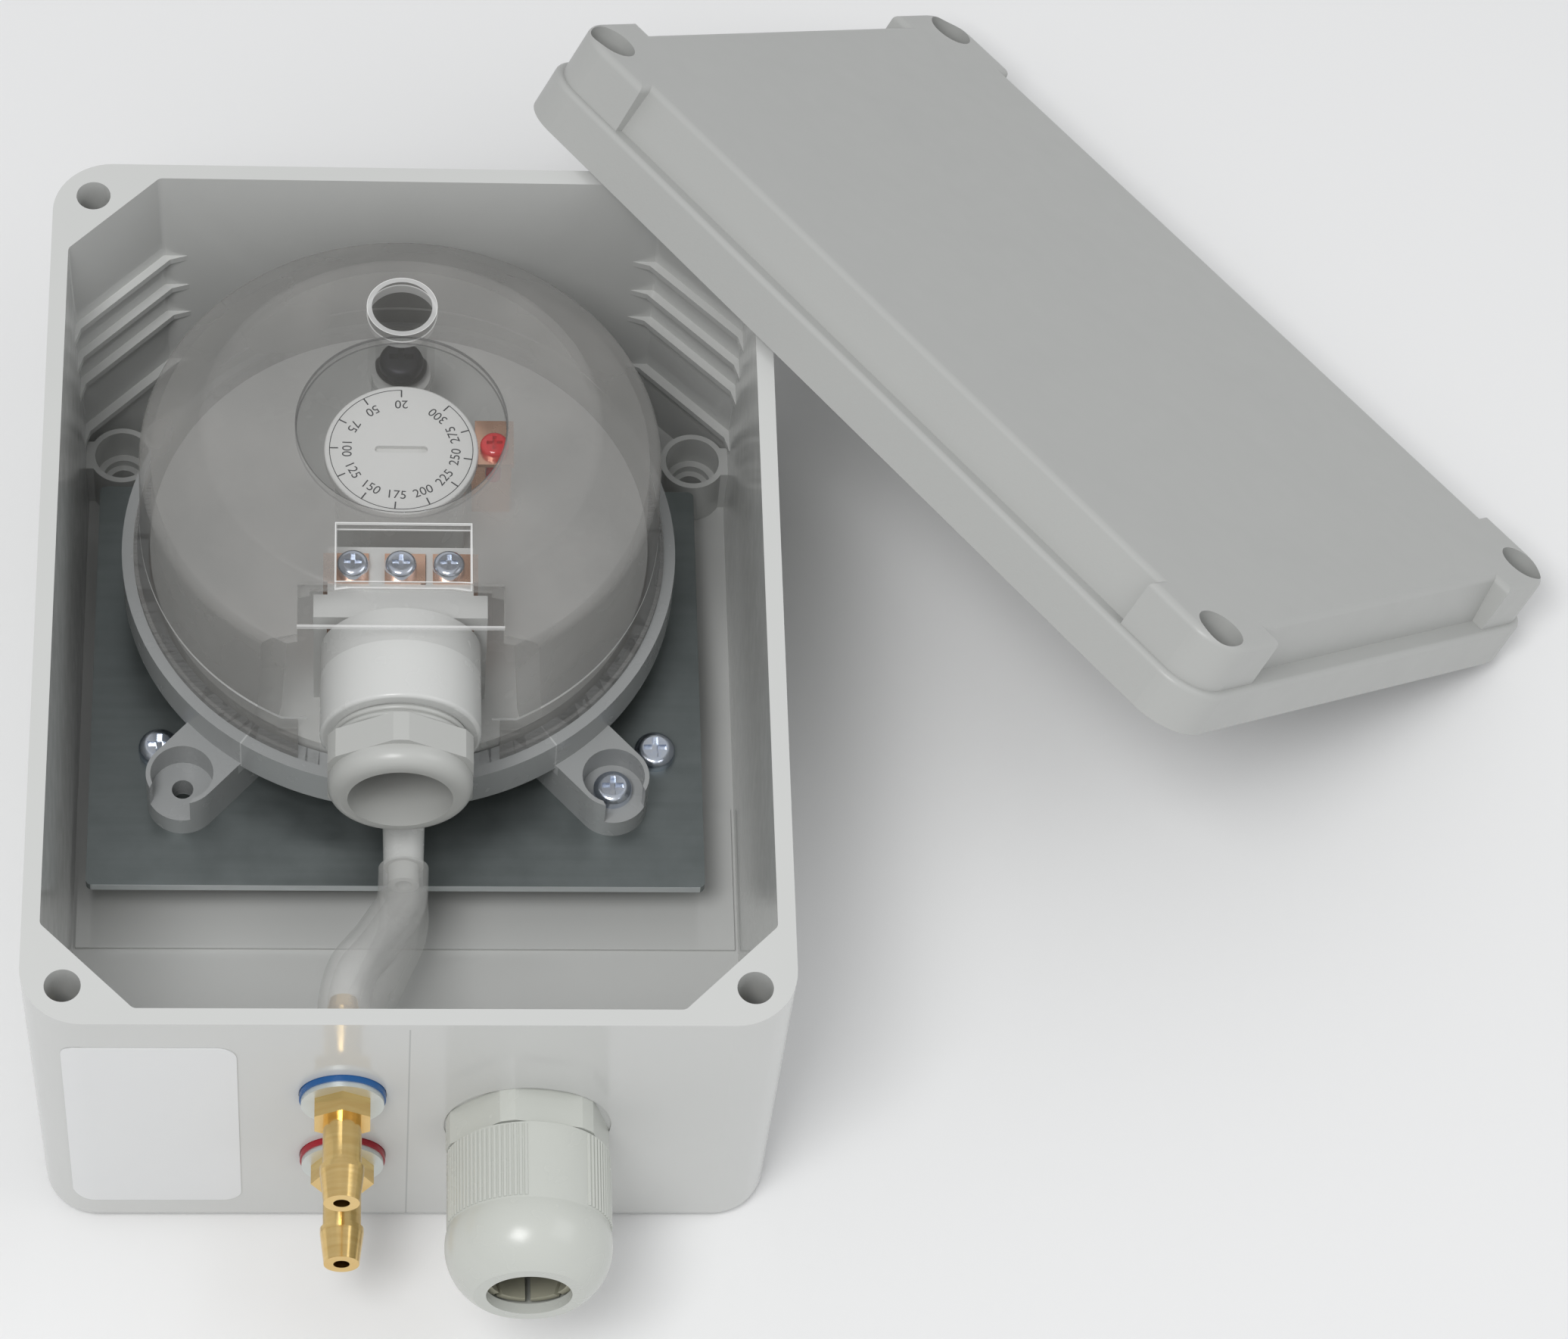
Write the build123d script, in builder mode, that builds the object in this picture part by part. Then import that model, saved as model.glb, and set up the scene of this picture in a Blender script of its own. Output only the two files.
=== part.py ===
"""Differential pressure switch for air, mounted on a plate in a wall box with its lid taken off."""

import os
from math import asin, atan, cos, degrees, pi, radians, sin, sqrt, tan

from build123d import *

os.makedirs("parts", exist_ok=True)

# All sizes are in millimetres. The origin is the middle of the box's underside, X is right, -Y is the front.

# Fits between pieces
seat_gap = 0.1
rest_gap = 0.2
thread_gap = 0.05
run_gap = 0.05
hole_gap = 0.1
soft_gap = 0.3

# Pan-head screws, as shares of the head's or shank's radius
head_rise = 0.7
head_round = 0.55
cross_length = 1.1
cross_width = 0.28
cross_depth = 0.5
shank_chamfer = 0.4

# Wall box
box_width = 110.0
box_length = 150.0
box_height = 64.0
box_draft = 1.15
box_wall = 2.6
box_floor = 3.0
box_corner = 9.0
box_edge = 2.5
pillar_leg = 13.5
pillar_round = 1.2
lid_screw_inset = 6.12
lid_screw_hole = 2.6
lid_screw_core = 1.9
lid_screw_depth = 30.0
insert_length = 8.0
insert_bore = 1.65
insert_step = 22.0
pad_height = 0.5
pad_front = -29.5
pad_back = -4.3
rear_pad_front = 6.2
rear_pad_back = box_length / 2 - 9.0
pad_side_gap = 0.5
rear_pad_side_gap = 15.0

# Wells for the wall screws
well_x = box_width / 2 - 9.2
well_y = box_length / 2 - 19.5
well_height = 9.5
well_radius = 5.2
well_bore = 4.3
well_step = 3.2
well_step_depth = 6.3
well_head_seat = 7.7
wall_screw_hole = 2.25

# Ledges round the pillars
ledge_levels = [16.8, 29.7, 36.8, 44.3]
ledge_depth = 0.8
ledge_thickness = 1.2
ledge_run = 3.5

# Mounting plate
plate_left = -(box_width / 2 - 6.0)
plate_right = box_width / 2 - 9.3
plate_front = -24.4
plate_back = 48.5
plate_thickness = 1.5
plate_corner = 1.0
boss_height = 9.5
boss_radius = 4.0
plate_screw_x = box_width / 2 - 16.6
plate_screw_front = -0.6
plate_screw_back = 43.0
plate_screw_shank = 1.5
plate_screw_head = 3.2
plate_screw_length = 7.5
plate_screw_spare = 0.8

# Switch: lower housing
switch_x = -1.5
switch_y = 27.6
foot_height = 7.0
ring_radius = 43.0
foot_radius = ring_radius - 7.0
ring_height = 8.0
ring_chamfer = 1.2
membrane_seat = 2.0
housing_bore = ring_radius - 4.1
chamber_radius = housing_bore - 4.1
chamber_floor = 2.5
lug_x = 33.0
lug_y = -37.4
lug_radius = 5.5
lug_height = 9.0
lug_floor = 4.0
lug_recess = 4.8
lug_mouth_width = 6.7
lug_mouth_x = 4.0
lug_mouth_y = -9.0
lug_root_radius = 21.6
lug_screw_shank = 1.55
lug_screw_head = 3.0
lug_screw_length = 9.5

# Hose nipples
nipple_x = -0.7
lower_nipple_height = 3.5
upper_nipple_height = 12.0
nipple_end = -28.0
nipple_root = 3.3
nipple_tip = 3.0
nipple_bore = 1.3
nipple_bore_depth = 14.0
tube_radius = 3.8
tube_bore = 2.4
spigot_length = 3.0
tube_end = -(box_length / 2 - 8.4)
upper_tube_bends = [(-0.8, -34.2, 26.2), (-4.4, -43.5, 31.9), (-8.3, -53.2, 40.4), (-9.5, -59.0, 42.0)]
lower_tube_bends = [(-0.5, -34.5, 17.6), (-4.8, -46.0, 19.6), (-9.3, -57.5, 22.0)]
tube_bend_share = 0.45
notch_width = 9.8
notch_drop = 6.8

# Switch: membrane and its plate
membrane_thickness = 0.6
membrane_radius = housing_bore - 0.2
membrane_clamp = membrane_radius - 4.4
membrane_middle = membrane_clamp - 8.8
membrane_drop = 2.5
membrane_hole = 3.3
disc_radius = membrane_middle - 1.0
disc_thickness = 1.2
disc_travel = 0.5
disc_stem = 3.0
disc_nut = 10.0
disc_nut_thickness = 1.2
pin_radius = 1.2
pin_x = -5.0
blade_height = 34.0

# Switch: upper housing
upper_radius = membrane_radius - 0.1
upper_thickness = 3.4
turret_radius = 10.0
turret_bore = 7.4
turret_top = 50.0
turret_bridge = 3.0
post_y = 49.1
post_radius = 4.6
post_top = 45.7
collar_x = -1.4
collar_z = 47.5
collar_radius = 12.0
collar_bore = 10.0
collar_front = -18.0
collar_back = -2.7
collar_stop = -8.4
collar_throat = 8.0
collar_round = 0.6
shelf_front = -1.0
shelf_back = 11.5
shelf_width = 26.0
shelf_top = 54.0
shelf_thickness = 3.0
shelf_leg = 2.0
shelf_leg_depth = 4.0
shelf_half = 10.9
shelf_slot_x = 1.9

# Switch: cover
cover_wall = 1.8
cover_rim = ring_radius - 1.8
cover_rim_height = 1.2
cover_skirt = ring_radius - 2.4
cover_skirt_top = 37.0
cover_skirt_edge = ring_radius - 3.0
cover_edge_radius = ring_radius - 3.4
cover_edge_height = 55.5
cover_flat_radius = ring_radius - 13.0
cover_top = 63.5
cover_edge_round = 2.5
cover_top_round = 1.5
cover_front = -8.3
cover_front_foot = 33.0
cover_step_width = 30.6
cover_step_drop = 0.6
window_radius = 15.9
window_depth = 0.3
pane_x = -1.15
pane_y = 4.5
pane_width = 20.1
pane_length = 10.2
cover_well_radius = 5.2
cover_well_bore = 4.0
cover_well_floor = 2.0
cover_screw_shank = 1.5
cover_screw_head = 3.4
cover_screw_length = 7.0

# Switch: dial, spindle, spring and its seat
dial_radius = 11.7
dial_thickness = 1.5
dial_round = 0.3
dial_top = 56.5
dial_slot_width = 1.2
dial_slot_length = 8.0
dial_slot_depth = 0.8
spindle_radius = 2.4
spindle_neck = 3.2
spindle_end = 35.0
clip_radius = 3.6
clip_thickness = 0.7
seat_top = 43.0
seat_thickness = 3.0
spring_radius = 5.2
spring_wire = 0.8
spring_turns = 6

# Switch: contacts
strip_thickness = 0.6
strip_width = 5.0
strip_y = 7.5
blade_thickness = 0.4
blade_width = 3.4
blade_pivot_x = -10.9
blade_tip_x = 8.7
contact_x = 7.0
contact_radius = 1.2
contact_height = 0.8
pivot_radius = 0.7
eye_radius = 1.35
terminal_spacing = 7.2
terminal_shank = 1.25
terminal_head = 2.4

# Switch: calibration bracket
bracket_x = 12.65
bracket_width = 5.9
bracket_front = 26.0
bracket_back = 34.0
bracket_foot = 5.0
bracket_top = 55.0
bracket_thickness = 0.8
bracket_screw_y = 29.0
bracket_screw_shank = 1.25
bracket_screw_head = 2.2
bracket_screw_length = 8.0

# Cable nut in the collar
nut_thread = 9.9
nut_thread_back = -12.6
nut_hex_back = -20.6
nut_hex_front = -25.4
nut_front = -28.6
nut_flats = 21.5
nut_bore = 7.8
nut_round = 2.4
nut_corner_radius = 11.8
seal_thickness = 3.6
seal_bore = 6.0

# Hose fittings in the front wall
fitting_x = -9.5
upper_fitting_z = 42.0
lower_fitting_z = 22.0
port_ring_radius = 6.25
port_ring_thickness = 1.2
washer_radius = 6.0
washer_thickness = 0.8
fitting_thread = 2.8
fitting_flats = 8.0
fitting_hex_length = 3.0
fitting_nut_length = 2.5
fitting_stem = 2.0
fitting_neck = 2.8
fitting_barb_tip = 2.6
fitting_barb_flare = 3.2
fitting_barb_length = 5.6
fitting_barb_land = 0.8
fitting_tip = -(box_length / 2 + 17.0)
fitting_bore = 1.2
fitting_inner_end = -(box_length / 2 - 15.8)
fitting_inner_barb = 2.35
fitting_inner_flare = 2.0
fitting_inner_step = 0.6
fitting_thread_spare = 1.0

# Cable gland in the front wall
gland_x = 17.4
gland_z = 32.0
gland_thread = 8.0
gland_flats = 22.0
gland_turned = 12.1
gland_hex_length = 5.5
gland_turn = 105.5
gland_bore = 6.5
gland_cap_radius = 11.85
gland_cap_ribbed = 12.0
gland_end = -(box_length / 2 + 26.7)
gland_mouth = 6.2
gland_lip = 8.0
gland_dome_depth = 2.4
gland_dome_radius = 10.5
gland_throat_start = 8.0
gland_throat_end = 1.6
gland_cap_bore = 9.6
gland_spigot = 9.5
gland_spigot_length = 6.0
gland_nut_length = 4.5
gland_inside = 9.0
claw_radius = 9.2
claw_bore = 7.3
claw_fingers = 8
claw_slot = 0.8
claw_slot_reach = 7.2
claw_collar = 2.0
claw_wall = 1.1
claw_back_gap = 0.4
claw_front_gap = 0.6
gland_seal_bore = 4.6

# Label on the front wall
label_left = -(box_width / 2 - 5.6)
label_right = label_left + 24.9
label_bottom = 6.8
label_top = 56.7
label_corner = 3.0
label_thickness = 0.15
label_gap = 0.02

# Lid, leaning on the box's rear right corner
lid_height = 16.0
lid_corner = 8.0
lid_flange = 7.5
lid_flange_draft = 0.6
lid_side_inset = 2.9
lid_end_inset = 3.4
lid_top_round = 1.2
lid_flange_round = 0.9
lid_side_draft = 8.0
lid_block = 17.5
lid_block_inset = 1.2
lid_roof = 2.5
lid_wall = 2.4
lid_lower_depth = 5.0
lid_recess = 3.8
lid_recess_floor = 4.0
lid_hole = 2.2
lid_groove_inset = 0.7
lid_groove_width = 1.2
lid_groove_depth = 1.0
lid_turn = 39.24
lid_contact_x = 10.02
lid_contact_y = 44.21

# Heights and places that follow from the sizes
draft_angle = degrees(atan(box_draft / box_height))
plate_under = box_floor + boss_height
plate_top = plate_under + plate_thickness
ring_bottom = plate_top + foot_height
ring_top = ring_bottom + ring_height
membrane_bottom = ring_top - membrane_seat
upper_bottom = membrane_bottom + membrane_thickness
upper_top = upper_bottom + upper_thickness
lower_nipple_z = plate_top + lower_nipple_height
upper_nipple_z = plate_top + upper_nipple_height
disc_bottom = membrane_bottom - membrane_drop + membrane_thickness + soft_gap
disc_top = disc_bottom + disc_thickness
screw_inset_x = box_width / 2 - lid_screw_inset
screw_inset_y = box_length / 2 - lid_screw_inset


def front(y):
    """Upright plane at y that faces the front."""
    return Plane.XZ.offset(-y)


def wall_y(z):
    """Outer face of the drafted front wall at height z."""
    return -(box_length / 2 - box_draft * (1 - z / box_height))


def outer_seat(z, radius):
    """Flat seat in the front wall's outer face for a round piece."""
    return wall_y(z - radius) + seat_gap


def inner_seat(z, radius):
    """Flat seat on the front wall's inner face for a round piece."""
    return wall_y(z - radius) + box_wall + rest_gap


def inner_half(size, z):
    """Half the clear width or length between the drafted inner walls at height z."""
    return size / 2 - box_wall - box_draft * (1 - z / box_height)


ring_seat = {z: outer_seat(z, port_ring_radius) for z in (upper_fitting_z, lower_fitting_z)}
nut_seat = {z: inner_seat(z, fitting_flats) for z in (upper_fitting_z, lower_fitting_z)}
gland_seat = outer_seat(gland_z, gland_turned)
gland_nut_seat = inner_seat(gland_z, gland_flats / sqrt(3))


# Ledges: four level ribs wrapped round one pillar, then mirrored to the others
with BuildPart() as pillar_ledges:
    for level in ledge_levels:
        wall_x = inner_half(box_width, level)
        wall_end = inner_half(box_length, level)
        with BuildSketch(Plane.XY.offset(level - ledge_thickness)):
            with BuildLine():
                Polyline(
                    (wall_x - box_corner, wall_end + 1),
                    (wall_x + 1, wall_end - box_corner),
                    (wall_x + 1, wall_end - pillar_leg - ledge_run),
                    (wall_x, wall_end - pillar_leg - ledge_run),
                    (wall_x - ledge_depth, wall_end - pillar_leg - ledge_depth),
                    (wall_x - pillar_leg - ledge_depth, wall_end - ledge_depth),
                    (wall_x - pillar_leg - ledge_run, wall_end),
                    (wall_x - pillar_leg - ledge_run, wall_end + 1),
                    close=True,
                )
            make_face()
        extrude(amount=ledge_thickness)
    mirror(about=Plane.YZ)
    mirror(about=Plane.XZ)

# Box: drafted tray with solid corner pillars
with BuildPart() as enclosure_base:
    with BuildSketch(Plane.XY.offset(box_height)):
        RectangleRounded(box_width, box_length, box_corner)
    extrude(amount=-box_height, taper=draft_angle)
    fillet(enclosure_base.edges().group_by(Axis.Z)[0], box_edge)
    with BuildSketch(Plane.XY.offset(box_height)) as mouth:
        Rectangle(box_width - 2 * box_wall, box_length - 2 * box_wall)
        chamfer(mouth.vertices(), pillar_leg)
        fillet(mouth.vertices(), pillar_round)
    extrude(amount=box_floor - box_height, taper=draft_angle, mode=Mode.SUBTRACT)
    add(pillar_ledges.part)
    pad_width = 2 * inner_half(box_width, box_floor)
    front_pad = (pad_front, pad_back, pad_width - 2 * pad_side_gap)
    rear_pad = (rear_pad_front, rear_pad_back, pad_width - 2 * rear_pad_side_gap)
    for pad_start, pad_end, width in (front_pad, rear_pad):
        with BuildSketch(Plane.XY.offset(box_floor)):
            with Locations((0, (pad_start + pad_end) / 2)):
                Rectangle(width, pad_end - pad_start)
        extrude(amount=pad_height)
    well_web = inner_half(box_width, box_floor) - well_x + 1
    with BuildSketch(Plane.XY.offset(box_floor)):
        with GridLocations(2 * well_x, 2 * well_y, 2, 2):
            Circle(well_radius)
        with GridLocations(2 * well_x + well_web, 2 * well_y, 2, 2):
            Rectangle(well_web, well_radius)
    extrude(amount=well_height)
    for depth, radius in ((well_step_depth, well_bore), (well_head_seat, well_step)):
        with BuildSketch(Plane.XY.offset(box_floor + well_height)):
            with GridLocations(2 * well_x, 2 * well_y, 2, 2):
                Circle(radius)
        extrude(amount=-depth, mode=Mode.SUBTRACT)
    with BuildSketch():
        with GridLocations(2 * well_x, 2 * well_y, 2, 2):
            Circle(wall_screw_hole)
    extrude(amount=box_floor + well_height, mode=Mode.SUBTRACT)
    boss_spots = [
        (side * plate_screw_x, y) for side in (-1, 1) for y in (plate_screw_front, plate_screw_back)
    ]
    with BuildSketch(Plane.XY.offset(box_floor)):
        with Locations(boss_spots):
            Circle(boss_radius)
    extrude(amount=boss_height)
    with BuildSketch(Plane.XY.offset(plate_under)):
        with Locations(boss_spots):
            Circle(plate_screw_shank + thread_gap)
    screw_bore_depth = plate_screw_length - plate_thickness + plate_screw_spare
    extrude(amount=-screw_bore_depth, mode=Mode.SUBTRACT)
    with BuildSketch(Plane.XY.offset(box_height)):
        with GridLocations(2 * screw_inset_x, 2 * screw_inset_y, 2, 2):
            Circle(lid_screw_hole)
    extrude(amount=-insert_step, mode=Mode.SUBTRACT)
    with BuildSketch(Plane.XY.offset(box_height)):
        with GridLocations(2 * screw_inset_x, 2 * screw_inset_y, 2, 2):
            Circle(lid_screw_core)
    extrude(amount=-lid_screw_depth, mode=Mode.SUBTRACT)
    for z in (upper_fitting_z, lower_fitting_z):
        with BuildSketch(front(nut_seat[z])):
            with Locations((fitting_x, z)):
                Circle(fitting_flats / sqrt(3) + 1)
        extrude(amount=box_wall / 2)
        with BuildSketch(front(ring_seat[z])):
            with Locations((fitting_x, z)):
                Circle(port_ring_radius + hole_gap)
        extrude(amount=box_wall / 2, mode=Mode.SUBTRACT)
        with BuildSketch(front(nut_seat[z])):
            with Locations((fitting_x, z)):
                Circle(fitting_thread + hole_gap)
        extrude(amount=2 * box_wall, mode=Mode.SUBTRACT)
    with BuildSketch(front(gland_nut_seat)):
        with Locations((gland_x, gland_z)):
            Circle(gland_flats / sqrt(3) + 1)
    extrude(amount=box_wall / 2)
    with BuildSketch(front(gland_seat)):
        with Locations((gland_x, gland_z)):
            Circle(gland_turned + hole_gap)
    extrude(amount=box_wall / 2, mode=Mode.SUBTRACT)
    with BuildSketch(front(gland_nut_seat)):
        with Locations((gland_x, gland_z)):
            Circle(gland_thread + hole_gap)
    extrude(amount=2 * box_wall, mode=Mode.SUBTRACT)
enclosure_base.part.label = "enclosure_base"
export_step(enclosure_base.part, "parts/enclosure_base.step")

# Thread inserts: brass bushes on the steps in the pillars' holes
insert_spots = [(sx * screw_inset_x, sy * screw_inset_y) for sy in (-1, 1) for sx in (-1, 1)]
for number, spot in enumerate(insert_spots, start=1):
    with BuildPart() as thread_insert:
        with BuildSketch(Plane.XY.offset(box_height - insert_step)):
            with Locations(spot):
                Circle(lid_screw_hole - thread_gap)
                Circle(insert_bore, mode=Mode.SUBTRACT)
        extrude(amount=insert_length)
    thread_insert.part.label = f"thread_insert_{number}"
    export_step(thread_insert.part, f"parts/thread_insert_{number}.step")

# Mounting plate
plate_hole_spots = [(switch_x + side * lug_x, switch_y + lug_y) for side in (-1, 1)]
with BuildPart() as mounting_plate:
    with BuildSketch(Plane.XY.offset(plate_under)):
        with Locations(((plate_left + plate_right) / 2, (plate_front + plate_back) / 2)):
            RectangleRounded(plate_right - plate_left, plate_back - plate_front, plate_corner)
        with Locations(boss_spots):
            Circle(plate_screw_shank + hole_gap, mode=Mode.SUBTRACT)
        with Locations(plate_hole_spots):
            Circle(lug_screw_shank + thread_gap, mode=Mode.SUBTRACT)
    extrude(amount=plate_thickness)
mounting_plate.part.label = "mounting_plate"
export_step(mounting_plate.part, "parts/mounting_plate.step")


def pan_screw(spot, seat, head, shank, length):
    """Pan-head screw on a level seat, its cross cut by two slots."""
    head_height = head_rise * head
    with BuildPart() as screw:
        with BuildSketch(Plane.XY.offset(seat)):
            with Locations(spot):
                Circle(head)
        extrude(amount=head_height)
        fillet(screw.edges().group_by(Axis.Z)[-1], head_round * head_height)
        with BuildSketch(Plane.XY.offset(seat + head_height)):
            with Locations(spot):
                Rectangle(cross_length * head, cross_width * head)
                Rectangle(cross_width * head, cross_length * head)
        extrude(amount=-cross_depth * head_height, mode=Mode.SUBTRACT)
        with BuildSketch(Plane.XY.offset(seat)):
            with Locations(spot):
                Circle(shank)
        extrude(amount=-length)
        chamfer(screw.edges().group_by(Axis.Z)[0], shank_chamfer * shank)
    return screw.part


# Plate screws: they hold the plate to the floor bosses
for number, spot in enumerate(boss_spots, start=1):
    plate_screw = pan_screw(spot, plate_top, plate_screw_head, plate_screw_shank, plate_screw_length)
    plate_screw.label = f"plate_screw_{number}"
    export_step(plate_screw, f"parts/plate_screw_{number}.step")

# Lower housing: foot with two lugs, ring and the lower nipple
lug_bearing = atan(lug_x / -lug_y)
with BuildPart() as lower_housing:
    with BuildSketch(Plane.XY.offset(plate_top)):
        with Locations((switch_x, switch_y)):
            Circle(foot_radius)
    extrude(amount=foot_height)
    with BuildSketch(Plane.XY.offset(plate_top)):
        for side in (-1, 1):
            lug_centre = (switch_x + side * lug_x, switch_y + lug_y)
            root = (
                switch_x + side * lug_root_radius * sin(lug_bearing),
                switch_y - lug_root_radius * cos(lug_bearing),
            )
            with BuildLine():
                Line(root, lug_centre)
            trace(line_width=2 * lug_radius)
            with Locations(lug_centre):
                Circle(lug_radius)
    extrude(amount=lug_height)
    with BuildSketch(Plane.XY.offset(ring_bottom)):
        with Locations((switch_x, switch_y)):
            Circle(ring_radius)
    extrude(amount=ring_height)
    ring_edges = lower_housing.edges().filter_by(GeomType.CIRCLE)
    outer_edges = ring_edges.filter_by(lambda e: abs(e.radius - ring_radius) < 1e-6)
    chamfer(outer_edges.group_by(Axis.Z)[0], ring_chamfer)
    for side in (-1, 1):
        lug_centre = (switch_x + side * lug_x, switch_y + lug_y)
        with BuildSketch(Plane.XY.offset(plate_top + lug_floor)):
            with Locations(lug_centre):
                Circle(lug_recess)
            with BuildLine():
                Line(lug_centre, (lug_centre[0] + side * lug_mouth_x, lug_centre[1] + lug_mouth_y))
            trace(line_width=lug_mouth_width)
        extrude(amount=lug_height, mode=Mode.SUBTRACT)
        with BuildSketch(Plane.XY.offset(plate_top)):
            with Locations(lug_centre):
                Circle(lug_screw_shank + hole_gap)
        extrude(amount=lug_floor, mode=Mode.SUBTRACT)
    with BuildSketch(Plane.XY.offset(membrane_bottom)):
        with Locations((switch_x, switch_y)):
            Circle(housing_bore)
    extrude(amount=membrane_seat, mode=Mode.SUBTRACT)
    with BuildSketch(Plane.XY.offset(plate_top + chamber_floor)):
        with Locations((switch_x, switch_y)):
            Circle(chamber_radius)
    extrude(amount=membrane_bottom - plate_top - chamber_floor, mode=Mode.SUBTRACT)
    with BuildSketch(front(switch_y - housing_bore + 2)):
        with Locations((nipple_x, ring_top)):
            Rectangle(notch_width, 2 * notch_drop)
    extrude(amount=ring_radius, mode=Mode.SUBTRACT)
    with BuildSketch(front(switch_y - foot_radius + 1)):
        with Locations((nipple_x, lower_nipple_z)):
            Circle(nipple_root)
    with BuildSketch(front(nipple_end)):
        with Locations((nipple_x, lower_nipple_z)):
            Circle(nipple_tip)
    loft()
    with BuildSketch(front(nipple_end)):
        with Locations((nipple_x, lower_nipple_z)):
            Circle(tube_bore - run_gap)
    extrude(amount=spigot_length)
    with BuildSketch(front(nipple_end - spigot_length)):
        with Locations((nipple_x, lower_nipple_z)):
            Circle(nipple_bore)
    extrude(amount=-nipple_bore_depth, mode=Mode.SUBTRACT)
lower_housing.part.label = "lower_housing"
export_step(lower_housing.part, "parts/lower_housing.step")

# Lug screw: holds the right lug, the left lug's hole is empty
lug_screw = pan_screw(
    (switch_x + lug_x, switch_y + lug_y),
    plate_top + lug_floor,
    lug_screw_head,
    lug_screw_shank,
    lug_screw_length,
)
lug_screw.label = "lug_screw"
export_step(lug_screw, "parts/lug_screw.step")

# Membrane: clamped rim, sloping roll and flat middle
axis_plane = Plane(origin=(switch_x, switch_y, 0), x_dir=(1, 0, 0), z_dir=(0, -1, 0))
switch_axis = Axis((switch_x, switch_y, 0), (0, 0, 1))
middle_bottom = membrane_bottom - membrane_drop
with BuildPart() as diaphragm:
    with BuildSketch(axis_plane):
        with BuildLine():
            Polyline(
                (membrane_hole, middle_bottom),
                (membrane_middle, middle_bottom),
                (membrane_clamp, membrane_bottom),
                (membrane_radius, membrane_bottom),
                (membrane_radius, upper_bottom),
                (membrane_clamp, upper_bottom),
                (membrane_middle, middle_bottom + membrane_thickness),
                (membrane_hole, middle_bottom + membrane_thickness),
                close=True,
            )
        make_face()
    revolve(axis=switch_axis)
diaphragm.part.label = "diaphragm"
export_step(diaphragm.part, "parts/diaphragm.step")

# Plate on the membrane, with its nut below and the push pin
nut_top = middle_bottom - soft_gap
with BuildPart() as diaphragm_plate:
    with BuildSketch(axis_plane):
        with BuildLine():
            Polyline(
                (0, nut_top - disc_nut_thickness),
                (disc_nut, nut_top - disc_nut_thickness),
                (disc_nut, nut_top),
                (disc_stem, nut_top),
                (disc_stem, disc_bottom),
                (disc_radius, disc_bottom),
                (disc_radius, disc_top),
                (0, disc_top),
                close=True,
            )
        make_face()
    revolve(axis=switch_axis)
    with BuildSketch(Plane.XY.offset(disc_top)):
        with Locations((pin_x, strip_y)):
            Circle(pin_radius)
    extrude(amount=blade_height - soft_gap - disc_top)
diaphragm_plate.part.label = "diaphragm_plate"
export_step(diaphragm_plate.part, "parts/diaphragm_plate.step")

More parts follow.
